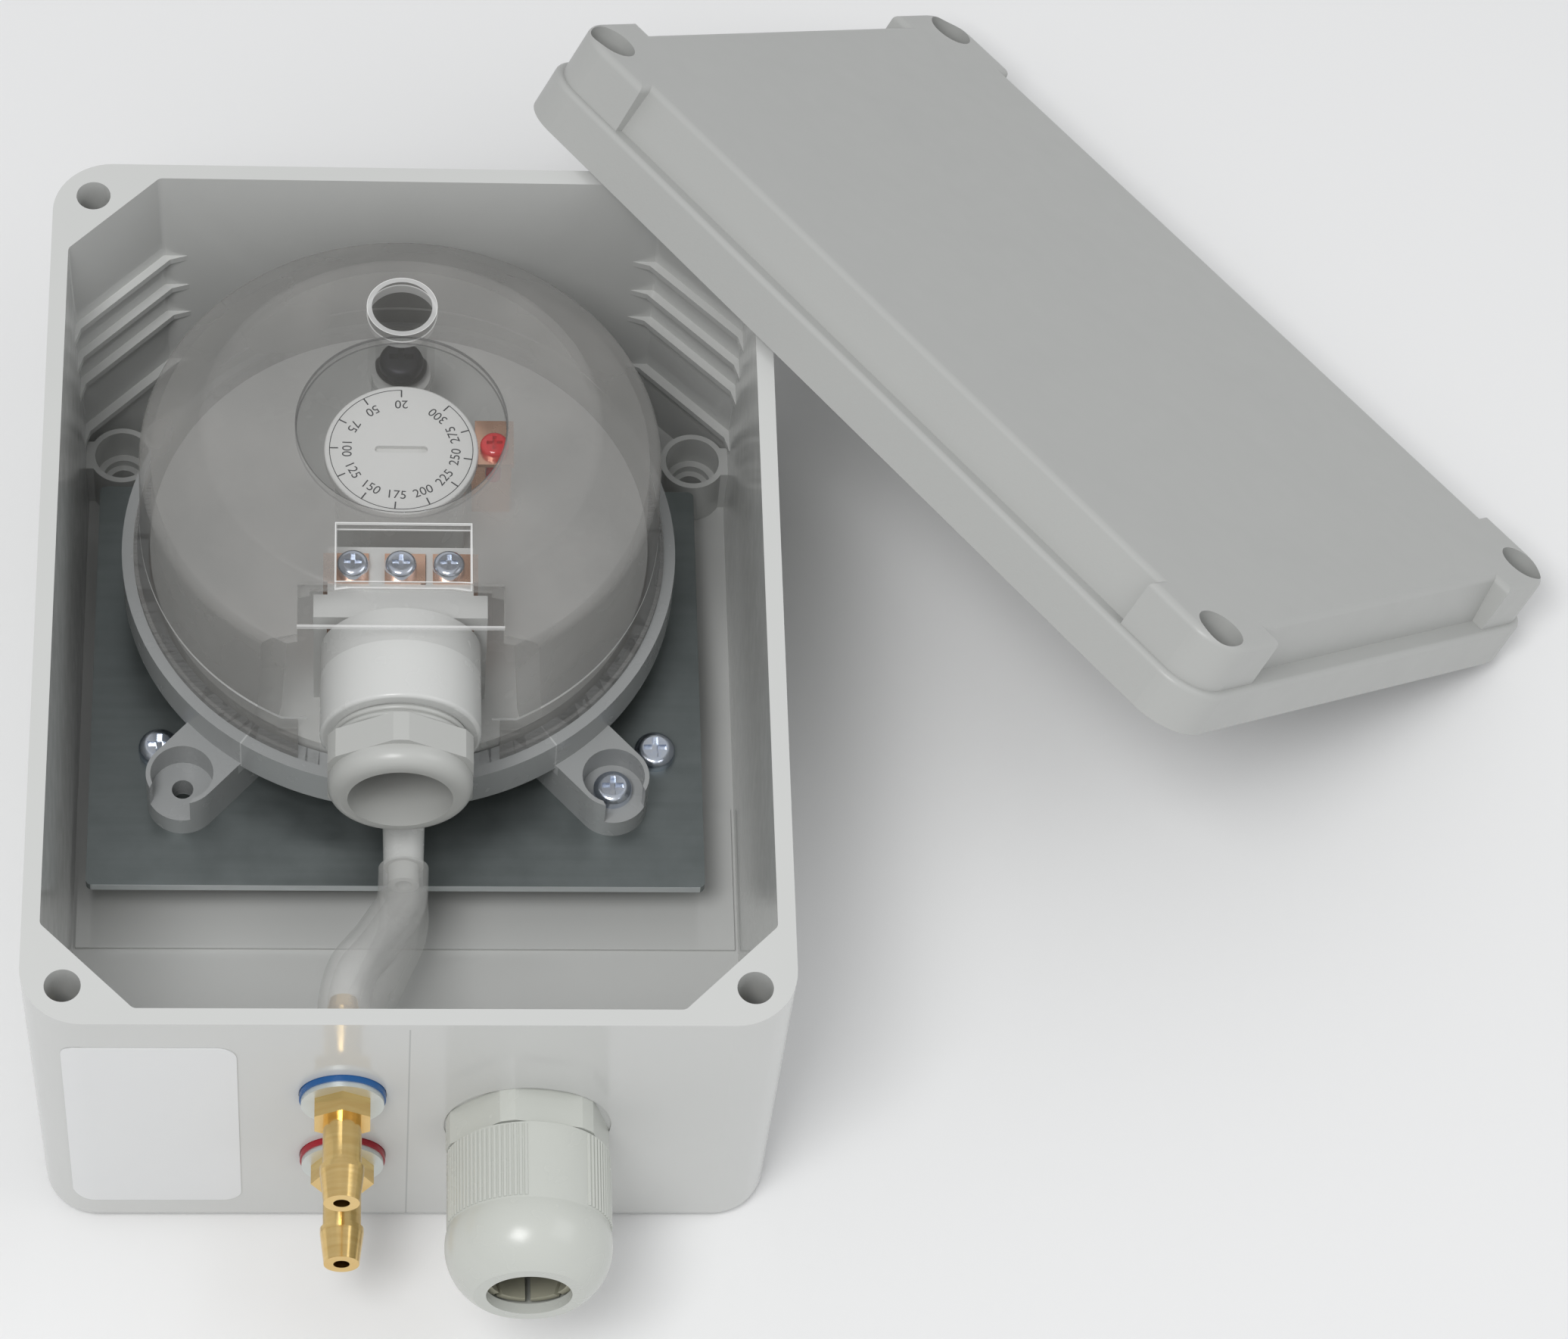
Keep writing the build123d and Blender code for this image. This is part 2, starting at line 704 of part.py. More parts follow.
# Upper housing: lid of the chamber with turret, post, terminal shelf, cable collar and upper nipple
with BuildPart() as upper_housing:
    with BuildSketch(Plane.XY.offset(upper_bottom)):
        with Locations((switch_x, switch_y)):
            Circle(upper_radius)
    extrude(amount=upper_thickness)
    apron_top = ring_top - hole_gap
    apron_bottom = ring_top - notch_drop + hole_gap
    apron_front = switch_y - ring_radius + hole_gap
    with BuildSketch(front(switch_y - housing_bore + 2)):
        with Locations((nipple_x, (apron_top + upper_bottom + hole_gap) / 2)):
            Rectangle(notch_width - 2 * hole_gap, apron_top - upper_bottom - hole_gap)
    extrude(amount=ring_radius - housing_bore + 2 - hole_gap)
    with BuildSketch(front(switch_y - membrane_radius - hole_gap)):
        with Locations((nipple_x, (apron_top + apron_bottom) / 2)):
            Rectangle(notch_width - 2 * hole_gap, apron_top - apron_bottom)
    extrude(amount=ring_radius - membrane_radius - 2 * hole_gap)
    with BuildSketch(Plane.XY.offset(upper_top)):
        with Locations((switch_x, switch_y)):
            Circle(turret_radius)
    extrude(amount=turret_top - upper_top)
    with BuildSketch(Plane.XY.offset(upper_top)):
        with Locations((switch_x, post_y)):
            Circle(post_radius)
    extrude(amount=post_top - upper_top)
    with BuildSketch(Plane.XY.offset(upper_top)):
        with Locations((collar_x, (collar_back + collar_stop) / 2)):
            Rectangle(2 * collar_radius, collar_back - collar_stop)
    extrude(amount=collar_z - upper_top)
    with BuildSketch(front(collar_back)):
        with Locations((collar_x, collar_z)):
            Circle(collar_radius)
    extrude(amount=collar_back - collar_front)
    fillet(upper_housing.edges().group_by(Axis.Y)[0], collar_round)
    leg_x = shelf_width / 2 - shelf_leg / 2
    with BuildSketch(Plane.XY.offset(upper_top)):
        with Locations((switch_x, shelf_front + shelf_leg_depth / 2)):
            with GridLocations(2 * leg_x, 0, 2, 1):
                Rectangle(shelf_leg, shelf_leg_depth)
    extrude(amount=shelf_top - upper_top)
    with BuildSketch(Plane.XY.offset(shelf_top)):
        with Locations((switch_x, shelf_front + shelf_leg_depth / 2)):
            Rectangle(shelf_width, shelf_leg_depth)
        with Locations((switch_x, (shelf_front + shelf_back) / 2)):
            Rectangle(2 * shelf_half, shelf_back - shelf_front)
        with Locations((shelf_slot_x, strip_y)):
            Rectangle(strip_thickness + 2 * hole_gap, strip_width + 2 * hole_gap, mode=Mode.SUBTRACT)
    extrude(amount=-shelf_thickness)
    with BuildSketch(Plane.XY.offset(shelf_top)):
        with Locations((switch_x, strip_y)):
            with GridLocations(terminal_spacing, 0, 3, 1):
                Circle(terminal_shank + thread_gap)
    extrude(amount=-shelf_thickness, mode=Mode.SUBTRACT)
    with BuildSketch(Plane.XY.offset(upper_bottom)):
        with Locations((switch_x, switch_y)):
            Circle(turret_bore)
    extrude(amount=turret_top - turret_bridge - upper_bottom, mode=Mode.SUBTRACT)
    with BuildSketch(Plane.XY.offset(turret_top)):
        with Locations((switch_x, switch_y)):
            Circle(spindle_radius + run_gap)
    extrude(amount=-turret_bridge, mode=Mode.SUBTRACT)
    with BuildSketch(Plane.XY.offset(post_top)):
        with Locations((switch_x, post_y)):
            Circle(cover_screw_shank + thread_gap)
    extrude(amount=-cover_screw_length, mode=Mode.SUBTRACT)
    with BuildSketch(Plane.XY.offset(upper_bottom)):
        with Locations((pin_x, strip_y)):
            Circle(pin_radius + run_gap)
    extrude(amount=upper_thickness, mode=Mode.SUBTRACT)
    with BuildSketch(front(collar_stop)):
        with Locations((collar_x, collar_z)):
            Circle(collar_bore)
    extrude(amount=collar_stop - collar_front, mode=Mode.SUBTRACT)
    with BuildSketch(front(collar_back)):
        with Locations((collar_x, collar_z)):
            Circle(collar_throat)
    extrude(amount=collar_back - collar_stop, mode=Mode.SUBTRACT)
    with BuildSketch(front(apron_front + 1)):
        with Locations((nipple_x, upper_nipple_z)):
            Circle(nipple_root)
    with BuildSketch(front(nipple_end)):
        with Locations((nipple_x, upper_nipple_z)):
            Circle(nipple_tip)
    loft()
    with BuildSketch(front(nipple_end)):
        with Locations((nipple_x, upper_nipple_z)):
            Circle(tube_bore - run_gap)
    extrude(amount=spigot_length)
    with BuildSketch(front(nipple_end - spigot_length)):
        with Locations((nipple_x, upper_nipple_z)):
            Circle(nipple_bore)
    extrude(amount=-nipple_bore_depth, mode=Mode.SUBTRACT)
upper_housing.part.label = "upper_housing"
export_step(upper_housing.part, "parts/upper_housing.step")

# Cover: what is hollow inside it
inner_top = cover_top - cover_wall
slope = atan((cover_top - cover_edge_height) / (cover_edge_radius - cover_flat_radius))
with BuildPart() as cover_hollow:
    with BuildSketch(axis_plane):
        with BuildLine():
            Polyline(
                (0, ring_top),
                (cover_skirt - cover_wall, ring_top),
                (cover_skirt_edge - cover_wall, cover_skirt_top),
                (cover_edge_radius - cover_wall, cover_edge_height - cover_wall * tan(slope / 2)),
                (cover_flat_radius - cover_wall * tan(slope / 2), inner_top),
                (0, inner_top),
                close=True,
            )
        make_face()
    revolve(axis=switch_axis)
    with BuildSketch(front(cover_front + cover_wall)):
        with Locations((switch_x, cover_top)):
            Rectangle(2 * cover_rim, 2 * (cover_top - cover_front_foot + cover_wall))
    extrude(amount=cover_rim, mode=Mode.SUBTRACT)
    step_z = cover_top - cover_step_drop - cover_wall
    with BuildSketch(front(cover_front + cover_wall)):
        with Locations((switch_x, (step_z + cover_edge_height) / 2)):
            Rectangle(cover_step_width - 2 * cover_wall, step_z - cover_edge_height)
    extrude(amount=cover_front + cover_wall - (switch_y - cover_flat_radius + cover_wall))
    with BuildSketch(Plane.XY.offset(cover_top)):
        with Locations((switch_x, post_y)):
            Circle(cover_well_radius)
    extrude(amount=post_top + seat_gap - cover_top, mode=Mode.SUBTRACT)

# Cover: clear hood with a flat front, a step over the collar, two windows and a screw well
with BuildPart() as cover:
    with BuildSketch(axis_plane) as cover_outline:
        with BuildLine():
            Polyline(
                (0, ring_top),
                (cover_rim, ring_top),
                (cover_rim, ring_top + cover_rim_height),
                (cover_skirt, ring_top + cover_rim_height),
                (cover_skirt_edge, cover_skirt_top),
                (cover_edge_radius, cover_edge_height),
                (cover_flat_radius, cover_top),
                (0, cover_top),
                close=True,
            )
        make_face()
        fillet([v for v in cover_outline.vertices() if abs(v.Y - cover_edge_height) < 0.01], cover_edge_round)
        fillet([v for v in cover_outline.vertices() if abs(v.X - cover_flat_radius) < 0.01], cover_top_round)
    revolve(axis=switch_axis)
    with BuildSketch(front(cover_front)):
        with Locations((switch_x, cover_top)):
            Rectangle(2 * cover_rim, 2 * (cover_top - cover_front_foot))
    extrude(amount=cover_rim, mode=Mode.SUBTRACT)
    step_top = cover_top - cover_step_drop
    with BuildSketch(front(cover_front)):
        with Locations((switch_x, (step_top + cover_edge_height) / 2)):
            Rectangle(cover_step_width, step_top - cover_edge_height)
    extrude(amount=cover_front - (switch_y - cover_flat_radius + cover_wall))
    add(cover_hollow.part, mode=Mode.SUBTRACT)
    with BuildSketch(Plane.XY.offset(cover_top)):
        with Locations((switch_x, post_y)):
            Circle(cover_well_bore)
    extrude(amount=post_top + seat_gap + cover_well_floor - cover_top, mode=Mode.SUBTRACT)
    with BuildSketch(Plane.XY.offset(cover_top)):
        with Locations((switch_x, post_y)):
            Circle(cover_screw_shank + hole_gap)
    extrude(amount=post_top - cover_top, mode=Mode.SUBTRACT)
    with BuildSketch(Plane.XY.offset(cover_top)):
        with Locations((switch_x, switch_y)):
            Circle(window_radius)
        with Locations((pane_x, pane_y)):
            Rectangle(pane_width, pane_length)
    extrude(amount=-window_depth, mode=Mode.SUBTRACT)
    with BuildSketch(front(cover_front + cover_wall + 1)):
        with Locations((collar_x, collar_z)):
            Circle(collar_radius + hole_gap)
        with Locations((collar_x, (collar_z + ring_top) / 2)):
            Rectangle(2 * (collar_radius + hole_gap), collar_z - ring_top)
    extrude(amount=cover_rim, mode=Mode.SUBTRACT)
cover.part.label = "cover"
export_step(cover.part, "parts/cover.step")

# Cover screw at the bottom of the cover's well
cover_screw = pan_screw(
    (switch_x, post_y),
    post_top + seat_gap + cover_well_floor,
    cover_screw_head,
    cover_screw_shank,
    cover_screw_length,
)
cover_screw.label = "cover_screw"
export_step(cover_screw, "parts/cover_screw.step")

# Dial: round scale plate with a driver slot
with BuildPart() as setting_dial:
    with BuildSketch(Plane.XY.offset(dial_top - dial_thickness)):
        with Locations((switch_x, switch_y)):
            Circle(dial_radius)
    extrude(amount=dial_thickness)
    fillet(setting_dial.edges().group_by(Axis.Z)[-1], dial_round)
    with BuildSketch(Plane.XY.offset(dial_top)):
        with Locations((switch_x, switch_y)):
            SlotOverall(dial_slot_length, dial_slot_width)
    extrude(amount=-dial_slot_depth, mode=Mode.SUBTRACT)
setting_dial.part.label = "setting_dial"
export_step(setting_dial.part, "parts/setting_dial.step")

# Spindle: neck under the dial, threaded shaft, clip under the turret's bridge
neck_bottom = turret_top + seat_gap
clip_top = turret_top - turret_bridge - soft_gap
with BuildPart() as dial_spindle:
    with BuildSketch(axis_plane):
        with BuildLine():
            Polyline(
                (0, spindle_end),
                (spindle_radius, spindle_end),
                (spindle_radius, clip_top - clip_thickness),
                (clip_radius, clip_top - clip_thickness),
                (clip_radius, clip_top),
                (spindle_radius, clip_top),
                (spindle_radius, neck_bottom),
                (spindle_neck, neck_bottom),
                (spindle_neck, dial_top - dial_thickness),
                (0, dial_top - dial_thickness),
                close=True,
            )
        make_face()
    revolve(axis=switch_axis)
dial_spindle.part.label = "dial_spindle"
export_step(dial_spindle.part, "parts/dial_spindle.step")

# Spring seat: nut on the spindle that slides in the turret
with BuildPart() as spring_seat:
    with BuildSketch(Plane.XY.offset(seat_top)):
        with Locations((switch_x, switch_y)):
            Circle(turret_bore - run_gap)
            Circle(spindle_radius + run_gap, mode=Mode.SUBTRACT)
    extrude(amount=-seat_thickness)
spring_seat.part.label = "spring_seat"
export_step(spring_seat.part, "parts/spring_seat.step")

# Setting spring between the membrane's plate and the seat
spring_bottom = disc_top + disc_travel + seat_gap
spring_top = seat_top - seat_thickness - soft_gap
spring_rise = spring_top - spring_bottom - spring_wire
with BuildPart() as setting_spring:
    with BuildLine() as coil:
        Helix(
            pitch=spring_rise / spring_turns,
            height=spring_rise,
            radius=spring_radius,
            center=(switch_x, switch_y, spring_bottom + spring_wire / 2),
        )
    with BuildSketch(Plane(origin=coil.line @ 0, z_dir=coil.line % 0)):
        Circle(spring_wire / 2)
    sweep(path=coil.line, is_frenet=True)
setting_spring.part.label = "setting_spring"
export_step(setting_spring.part, "parts/setting_spring.step")

# Contact blade: rolled eye on the common terminal's pin, silver contact at the tip
blade_middle = blade_height + blade_thickness / 2
with BuildPart() as contact_lever:
    with BuildSketch(front(strip_y + blade_width / 2)):
        with Locations((blade_pivot_x, blade_middle)):
            Circle(eye_radius)
        with Locations(((blade_pivot_x + blade_tip_x) / 2, blade_middle)):
            Rectangle(blade_tip_x - blade_pivot_x, blade_thickness)
        with Locations((blade_pivot_x, blade_middle)):
            Circle(pivot_radius + run_gap, mode=Mode.SUBTRACT)
    extrude(amount=blade_width)
    with BuildSketch(Plane.XY.offset(blade_height - blade_thickness)):
        with Locations((contact_x, strip_y)):
            Circle(contact_radius)
    extrude(amount=3 * blade_thickness)
contact_lever.part.label = "contact_lever"
export_step(contact_lever.part, "parts/contact_lever.step")

# Common terminal: strip from the shelf down to the blade's pin
strip_top = shelf_top + strip_thickness
left_strip = switch_x - shelf_half - hole_gap - strip_thickness
tab_reach = terminal_head
ear_end = blade_pivot_x + eye_radius
with BuildPart() as common_terminal:
    with BuildSketch(front(strip_y + strip_width / 2)):
        with BuildLine():
            Polyline(
                (left_strip, blade_middle - eye_radius),
                (left_strip, strip_top),
                (switch_x - terminal_spacing + tab_reach, strip_top),
                (switch_x - terminal_spacing + tab_reach, shelf_top),
                (left_strip + strip_thickness, shelf_top),
                (left_strip + strip_thickness, blade_middle - eye_radius),
                close=True,
            )
        make_face()
    extrude(amount=strip_width)
    for y in (strip_y + strip_width / 2, strip_y - strip_width / 2 + strip_thickness):
        with BuildSketch(front(y)):
            with Locations(((left_strip + ear_end) / 2, blade_middle)):
                Rectangle(ear_end - left_strip, 2 * eye_radius)
        extrude(amount=strip_thickness)
    with BuildSketch(front(strip_y + strip_width / 2)):
        with Locations((blade_pivot_x, blade_middle)):
            Circle(pivot_radius)
    extrude(amount=strip_width)
    with BuildSketch(Plane.XY.offset(strip_top)):
        with Locations((switch_x - terminal_spacing, strip_y)):
            Circle(terminal_shank + thread_gap)
    extrude(amount=-strip_thickness, mode=Mode.SUBTRACT)
common_terminal.part.label = "common_terminal"
export_step(common_terminal.part, "parts/common_terminal.step")

# Lower contact: strip down the shelf's right side, turned in under the blade
right_strip = switch_x + shelf_half + hole_gap
rest_contact_top = blade_height - blade_thickness - soft_gap
rest_strip_top = rest_contact_top - contact_height
contact_tab = contact_x - contact_radius - strip_thickness
with BuildPart() as contact_lower:
    with BuildSketch(front(strip_y + strip_width / 2)):
        with BuildLine():
            Polyline(
                (contact_tab, rest_strip_top - strip_thickness),
                (right_strip + strip_thickness, rest_strip_top - strip_thickness),
                (right_strip + strip_thickness, strip_top),
                (switch_x + terminal_spacing - tab_reach, strip_top),
                (switch_x + terminal_spacing - tab_reach, shelf_top),
                (right_strip, shelf_top),
                (right_strip, rest_strip_top),
                (contact_tab, rest_strip_top),
                close=True,
            )
        make_face()
    extrude(amount=strip_width)
    with BuildSketch(Plane.XY.offset(rest_strip_top)):
        with Locations((contact_x, strip_y)):
            Circle(contact_radius)
    extrude(amount=contact_height)
    with BuildSketch(Plane.XY.offset(strip_top)):
        with Locations((switch_x + terminal_spacing, strip_y)):
            Circle(terminal_shank + thread_gap)
    extrude(amount=-strip_thickness, mode=Mode.SUBTRACT)
contact_lower.part.label = "contact_lower"
export_step(contact_lower.part, "parts/contact_lower.step")

# Upper contact: strip through the shelf's slot, turned out over the blade
blade_turn = disc_travel / (pin_x - blade_pivot_x)
contact_lift = blade_turn * (contact_x + contact_radius - blade_pivot_x)
work_contact_bottom = blade_height + 2 * blade_thickness + contact_lift + soft_gap
work_strip_bottom = work_contact_bottom + contact_height
slot_left = shelf_slot_x - strip_thickness / 2
with BuildPart() as contact_upper:
    with BuildSketch(front(strip_y + strip_width / 2)):
        with BuildLine():
            Polyline(
                (slot_left, work_strip_bottom),
                (contact_x + contact_radius, work_strip_bottom),
                (contact_x + contact_radius, work_strip_bottom + strip_thickness),
                (slot_left + strip_thickness, work_strip_bottom + strip_thickness),
                (slot_left + strip_thickness, strip_top),
                (switch_x - tab_reach, strip_top),
                (switch_x - tab_reach, shelf_top),
                (slot_left, shelf_top),
                close=True,
            )
        make_face()
    extrude(amount=strip_width)
    with BuildSketch(Plane.XY.offset(work_strip_bottom)):
        with Locations((contact_x, strip_y)):
            Circle(contact_radius)
    extrude(amount=-contact_height)
    with BuildSketch(Plane.XY.offset(strip_top)):
        with Locations((switch_x, strip_y)):
            Circle(terminal_shank + thread_gap)
    extrude(amount=-strip_thickness, mode=Mode.SUBTRACT)
contact_upper.part.label = "contact_upper"
export_step(contact_upper.part, "parts/contact_upper.step")

# Terminal screws on the shelf
for number, side in enumerate((-1, 0, 1), start=1):
    terminal_screw = pan_screw(
        (switch_x + side * terminal_spacing, strip_y),
        strip_top,
        terminal_head,
        terminal_shank,
        shelf_thickness + strip_thickness,
    )
    terminal_screw.label = f"terminal_screw_{number}"
    export_step(terminal_screw, f"parts/terminal_screw_{number}.step")

# Calibration bracket: copper strip bent twice, beside the dial
side_plane = Plane(
    origin=(bracket_x - bracket_width / 2, 0, 0), x_dir=(0, 1, 0), z_dir=(1, 0, 0)
)
with BuildPart() as calibration_bracket:
    with BuildSketch(side_plane):
        with BuildLine():
            Polyline(
                (bracket_front, bracket_top),
                (bracket_back, bracket_top),
                (bracket_back, upper_top + bracket_thickness),
                (bracket_back + bracket_foot, upper_top + bracket_thickness),
                (bracket_back + bracket_foot, upper_top),
                (bracket_back - bracket_thickness, upper_top),
                (bracket_back - bracket_thickness, bracket_top - bracket_thickness),
                (bracket_front, bracket_top - bracket_thickness),
                close=True,
            )
        make_face()
    extrude(amount=bracket_width)
    with BuildSketch(Plane.XY.offset(bracket_top)):
        with Locations((bracket_x, bracket_screw_y)):
            Circle(bracket_screw_shank + thread_gap)
    extrude(amount=-bracket_thickness, mode=Mode.SUBTRACT)
calibration_bracket.part.label = "calibration_bracket"
export_step(calibration_bracket.part, "parts/calibration_bracket.step")

# Calibration screw
calibration_screw = pan_screw(
    (bracket_x, bracket_screw_y),
    bracket_top,
    bracket_screw_head,
    bracket_screw_shank,
    bracket_screw_length,
)
calibration_screw.label = "calibration_screw"
export_step(calibration_screw, "parts/calibration_screw.step")

# Cable seal: rubber ring at the bottom of the collar's bore
with BuildPart() as cable_seal:
    with BuildSketch(front(collar_stop - seat_gap)):
        with Locations((collar_x, collar_z)):
            Circle(nut_thread)
            Circle(seal_bore, mode=Mode.SUBTRACT)
    extrude(amount=seal_thickness)
cable_seal.part.label = "cable_seal"
export_step(cable_seal.part, "parts/cable_seal.step")

# Cable nut: threaded bush with a hexagon and a rounded mouth
with BuildPart() as cable_nut:
    with BuildSketch(front(nut_thread_back)):
        with Locations((collar_x, collar_z)):
            Circle(nut_thread)
    extrude(amount=nut_thread_back - nut_hex_back)
    with BuildSketch(front(nut_hex_back)):
        with Locations((collar_x, collar_z)):
            RegularPolygon(nut_flats / 2, 6, major_radius=False, rotation=30)
            Circle(nut_corner_radius, mode=Mode.INTERSECT)
    extrude(amount=nut_hex_back - nut_hex_front)
    with BuildSketch(front(nut_hex_front)):
        with Locations((collar_x, collar_z)):
            Circle(nut_flats / 2)
    extrude(amount=nut_hex_front - nut_front)
    fillet(cable_nut.edges().group_by(Axis.Y)[0], nut_round)
    with BuildSketch(front(nut_thread_back)):
        with Locations((collar_x, collar_z)):
            Circle(nut_bore)
    extrude(amount=nut_thread_back - nut_front, mode=Mode.SUBTRACT)
cable_nut.part.label = "cable_nut"
export_step(cable_nut.part, "parts/cable_nut.step")


def forward_plane(x, z):
    """Upright plane through a front-to-back axis: local x runs to the front, local y runs up."""
    return Plane(origin=(x, 0, z), x_dir=(0, -1, 0), z_dir=(-1, 0, 0))


def forward_axis(x, z):
    """Axis to the front at x and z."""
    return Axis((x, 0, z), (0, -1, 0))


def hose_fitting(z, turn):
    """Bulkhead hose barb: hexagon, thread, outer barb and inner barb with a through bore."""
    hex_back = port_ring_thickness + washer_thickness - ring_seat[z]
    hex_front = hex_back + fitting_hex_length
    thread_end = -(nut_seat[z] + fitting_nut_length + fitting_thread_spare)
    inner_end = -fitting_inner_end
    tip = -fitting_tip
    with BuildPart() as fitting:
        with BuildSketch(forward_plane(fitting_x, z)):
            with BuildLine():
                Polyline(
                    (inner_end, fitting_bore),
                    (inner_end, fitting_stem),
                    (inner_end + fitting_inner_flare, fitting_inner_barb),
                    (inner_end + fitting_inner_flare + fitting_inner_step, fitting_stem),
                    (thread_end, fitting_stem),
                    (thread_end, fitting_thread),
                    (tip - fitting_barb_length, fitting_neck),
                    (tip - fitting_barb_length, fitting_barb_flare),
                    (tip - fitting_barb_length + fitting_barb_land, fitting_barb_flare),
                    (tip, fitting_barb_tip),
                    (tip, fitting_bore),
                    close=True,
                )
            make_face()
        revolve(axis=forward_axis(fitting_x, z))
        with BuildSketch(front(-hex_back)):
            with Locations((fitting_x, z)):
                RegularPolygon(fitting_flats / 2, 6, major_radius=False, rotation=turn)
                Circle(fitting_bore, mode=Mode.SUBTRACT)
        extrude(amount=hex_front - hex_back)
    return fitting.part


def bulkhead_ring(z, back, thickness, radius, bore):
    """Flat ring on a fitting's thread."""
    with BuildPart() as flat_ring:
        with BuildSketch(front(back)):
            with Locations((fitting_x, z)):
                Circle(radius)
                Circle(bore, mode=Mode.SUBTRACT)
        extrude(amount=thickness)
    return flat_ring.part


# Hose fittings with their coloured rings, washers and lock nuts
ports = (("upper", "blue", upper_fitting_z, 30), ("lower", "red", lower_fitting_z, 0))
for port, colour, z, turn in ports:
    fitting = hose_fitting(z, turn)
    fitting.label = f"{port}_hose_fitting"
    export_step(fitting, f"parts/{port}_hose_fitting.step")
    port_ring = bulkhead_ring(
        z, ring_seat[z], port_ring_thickness, port_ring_radius, fitting_thread + thread_gap
    )
    port_ring.label = f"{colour}_ring"
    export_step(port_ring, f"parts/{colour}_ring.step")
    washer = bulkhead_ring(
        z,
        ring_seat[z] - port_ring_thickness,
        washer_thickness,
        washer_radius,
        fitting_thread + thread_gap,
    )
    washer.label = f"{port}_washer"
    export_step(washer, f"parts/{port}_washer.step")
    with BuildPart() as fitting_nut:
        with BuildSketch(front(nut_seat[z])):
            with Locations((fitting_x, z)):
                RegularPolygon(fitting_flats / 2, 6, major_radius=False, rotation=turn)
                Circle(fitting_thread + thread_gap, mode=Mode.SUBTRACT)
        extrude(amount=-fitting_nut_length)
    fitting_nut.part.label = f"{port}_fitting_nut"
    export_step(fitting_nut.part, f"parts/{port}_fitting_nut.step")

# Silicone tubes from the nipples to the fittings' inner barbs
tube_start = nipple_end - seat_gap
upper_route = [
    (nipple_x, tube_start, upper_nipple_z),
    *upper_tube_bends,
    (fitting_x, tube_end, upper_fitting_z),
]
lower_route = [
    (nipple_x, tube_start, lower_nipple_z),
    *lower_tube_bends,
    (fitting_x, tube_end, lower_fitting_z),
]
for port, route in (("upper", upper_route), ("lower", lower_route)):
    runs = [Vector(*b) - Vector(*a) for a, b in zip(route, route[1:])]
    turns = [a.get_angle(b) for a, b in zip(runs, runs[1:])]
    radii = [
        tube_bend_share * min(a.length, b.length) / tan(radians(turn) / 2)
        for a, b, turn in zip(runs, runs[1:], turns)
    ]
    with BuildPart() as tube:
        with BuildLine() as path:
            FilletPolyline(*route, radius=radii)
        with BuildSketch(front(tube_start)):
            with Locations((route[0][0], route[0][2])):
                Circle(tube_radius)
                Circle(tube_bore, mode=Mode.SUBTRACT)
        sweep(path=path.line)
    tube_length = path.wires()[0].length
    tube_section = pi * (tube_radius**2 - tube_bore**2)
    print(port, "tube: length", round(tube_length, 1), "radii", [round(radius, 1) for radius in radii])
    print("volume", round(tube.part.volume), "section times length", round(tube_section * tube_length))
    tube.part.label = f"{port}_tube"
    export_step(tube.part, f"parts/{port}_tube.step")

# Cable gland: body with its hexagon outside, spigot for the cap and thread through the wall
hex_front = gland_seat - gland_hex_length
spigot_front = hex_front - gland_spigot_length
with BuildPart() as gland_body:
    with BuildSketch(front(gland_seat)):
        with Locations((gland_x, gland_z)):
            RegularPolygon(gland_flats / 2, 6, major_radius=False, rotation=gland_turn)
            Circle(gland_turned, mode=Mode.INTERSECT)
    extrude(amount=gland_hex_length)
    with BuildSketch(front(hex_front)):
        with Locations((gland_x, gland_z)):
            Circle(gland_spigot)
    extrude(amount=gland_spigot_length)
    with BuildSketch(front(gland_seat)):
        with Locations((gland_x, gland_z)):
            Circle(gland_thread)
    extrude(amount=-gland_inside)
    with BuildSketch(front(spigot_front)):
        with Locations((gland_x, gland_z)):
            Circle(gland_bore)
    extrude(amount=-(gland_inside + gland_seat - spigot_front), mode=Mode.SUBTRACT)
gland_body.part.label = "gland_body"
export_step(gland_body.part, "parts/gland_body.step")

# Gland nut on the wall's inner face
with BuildPart() as gland_nut:
    with BuildSketch(front(gland_nut_seat)):
        with Locations((gland_x, gland_z)):
            RegularPolygon(gland_flats / 2, 6, major_radius=False)
            Circle(gland_thread + thread_gap, mode=Mode.SUBTRACT)
    extrude(amount=-gland_nut_length)
gland_nut.part.label = "gland_nut"
export_step(gland_nut.part, "parts/gland_nut.step")

# Gland cap: ribbed sleeve that ends in a dome with the cable mouth
cap_back = -(hex_front - rest_gap)
dome_back = cap_back + gland_cap_ribbed
cap_front = -gland_end
claw_back = -(spigot_front - seat_gap)
throat_start = cap_front - gland_throat_start
throat_end = cap_front - gland_throat_end
with BuildPart() as gland_cap:
    with BuildSketch(forward_plane(gland_x, gland_z)):
        with BuildLine():
            Polyline(
                (dome_back, gland_cap_radius),
                (cap_back, gland_cap_radius),
                (cap_back, gland_cap_bore),
                (throat_start, gland_cap_bore),
                (throat_end, claw_bore),
                (throat_end, gland_mouth),
                (cap_front, gland_mouth),
                (cap_front, gland_lip),
            )
            ThreePointArc(
                (cap_front, gland_lip),
                (cap_front - gland_dome_depth, gland_dome_radius),
                (dome_back, gland_cap_radius),
            )
        make_face()
    revolve(axis=forward_axis(gland_x, gland_z))
gland_cap.part.label = "gland_cap"
export_step(gland_cap.part, "parts/gland_cap.step")

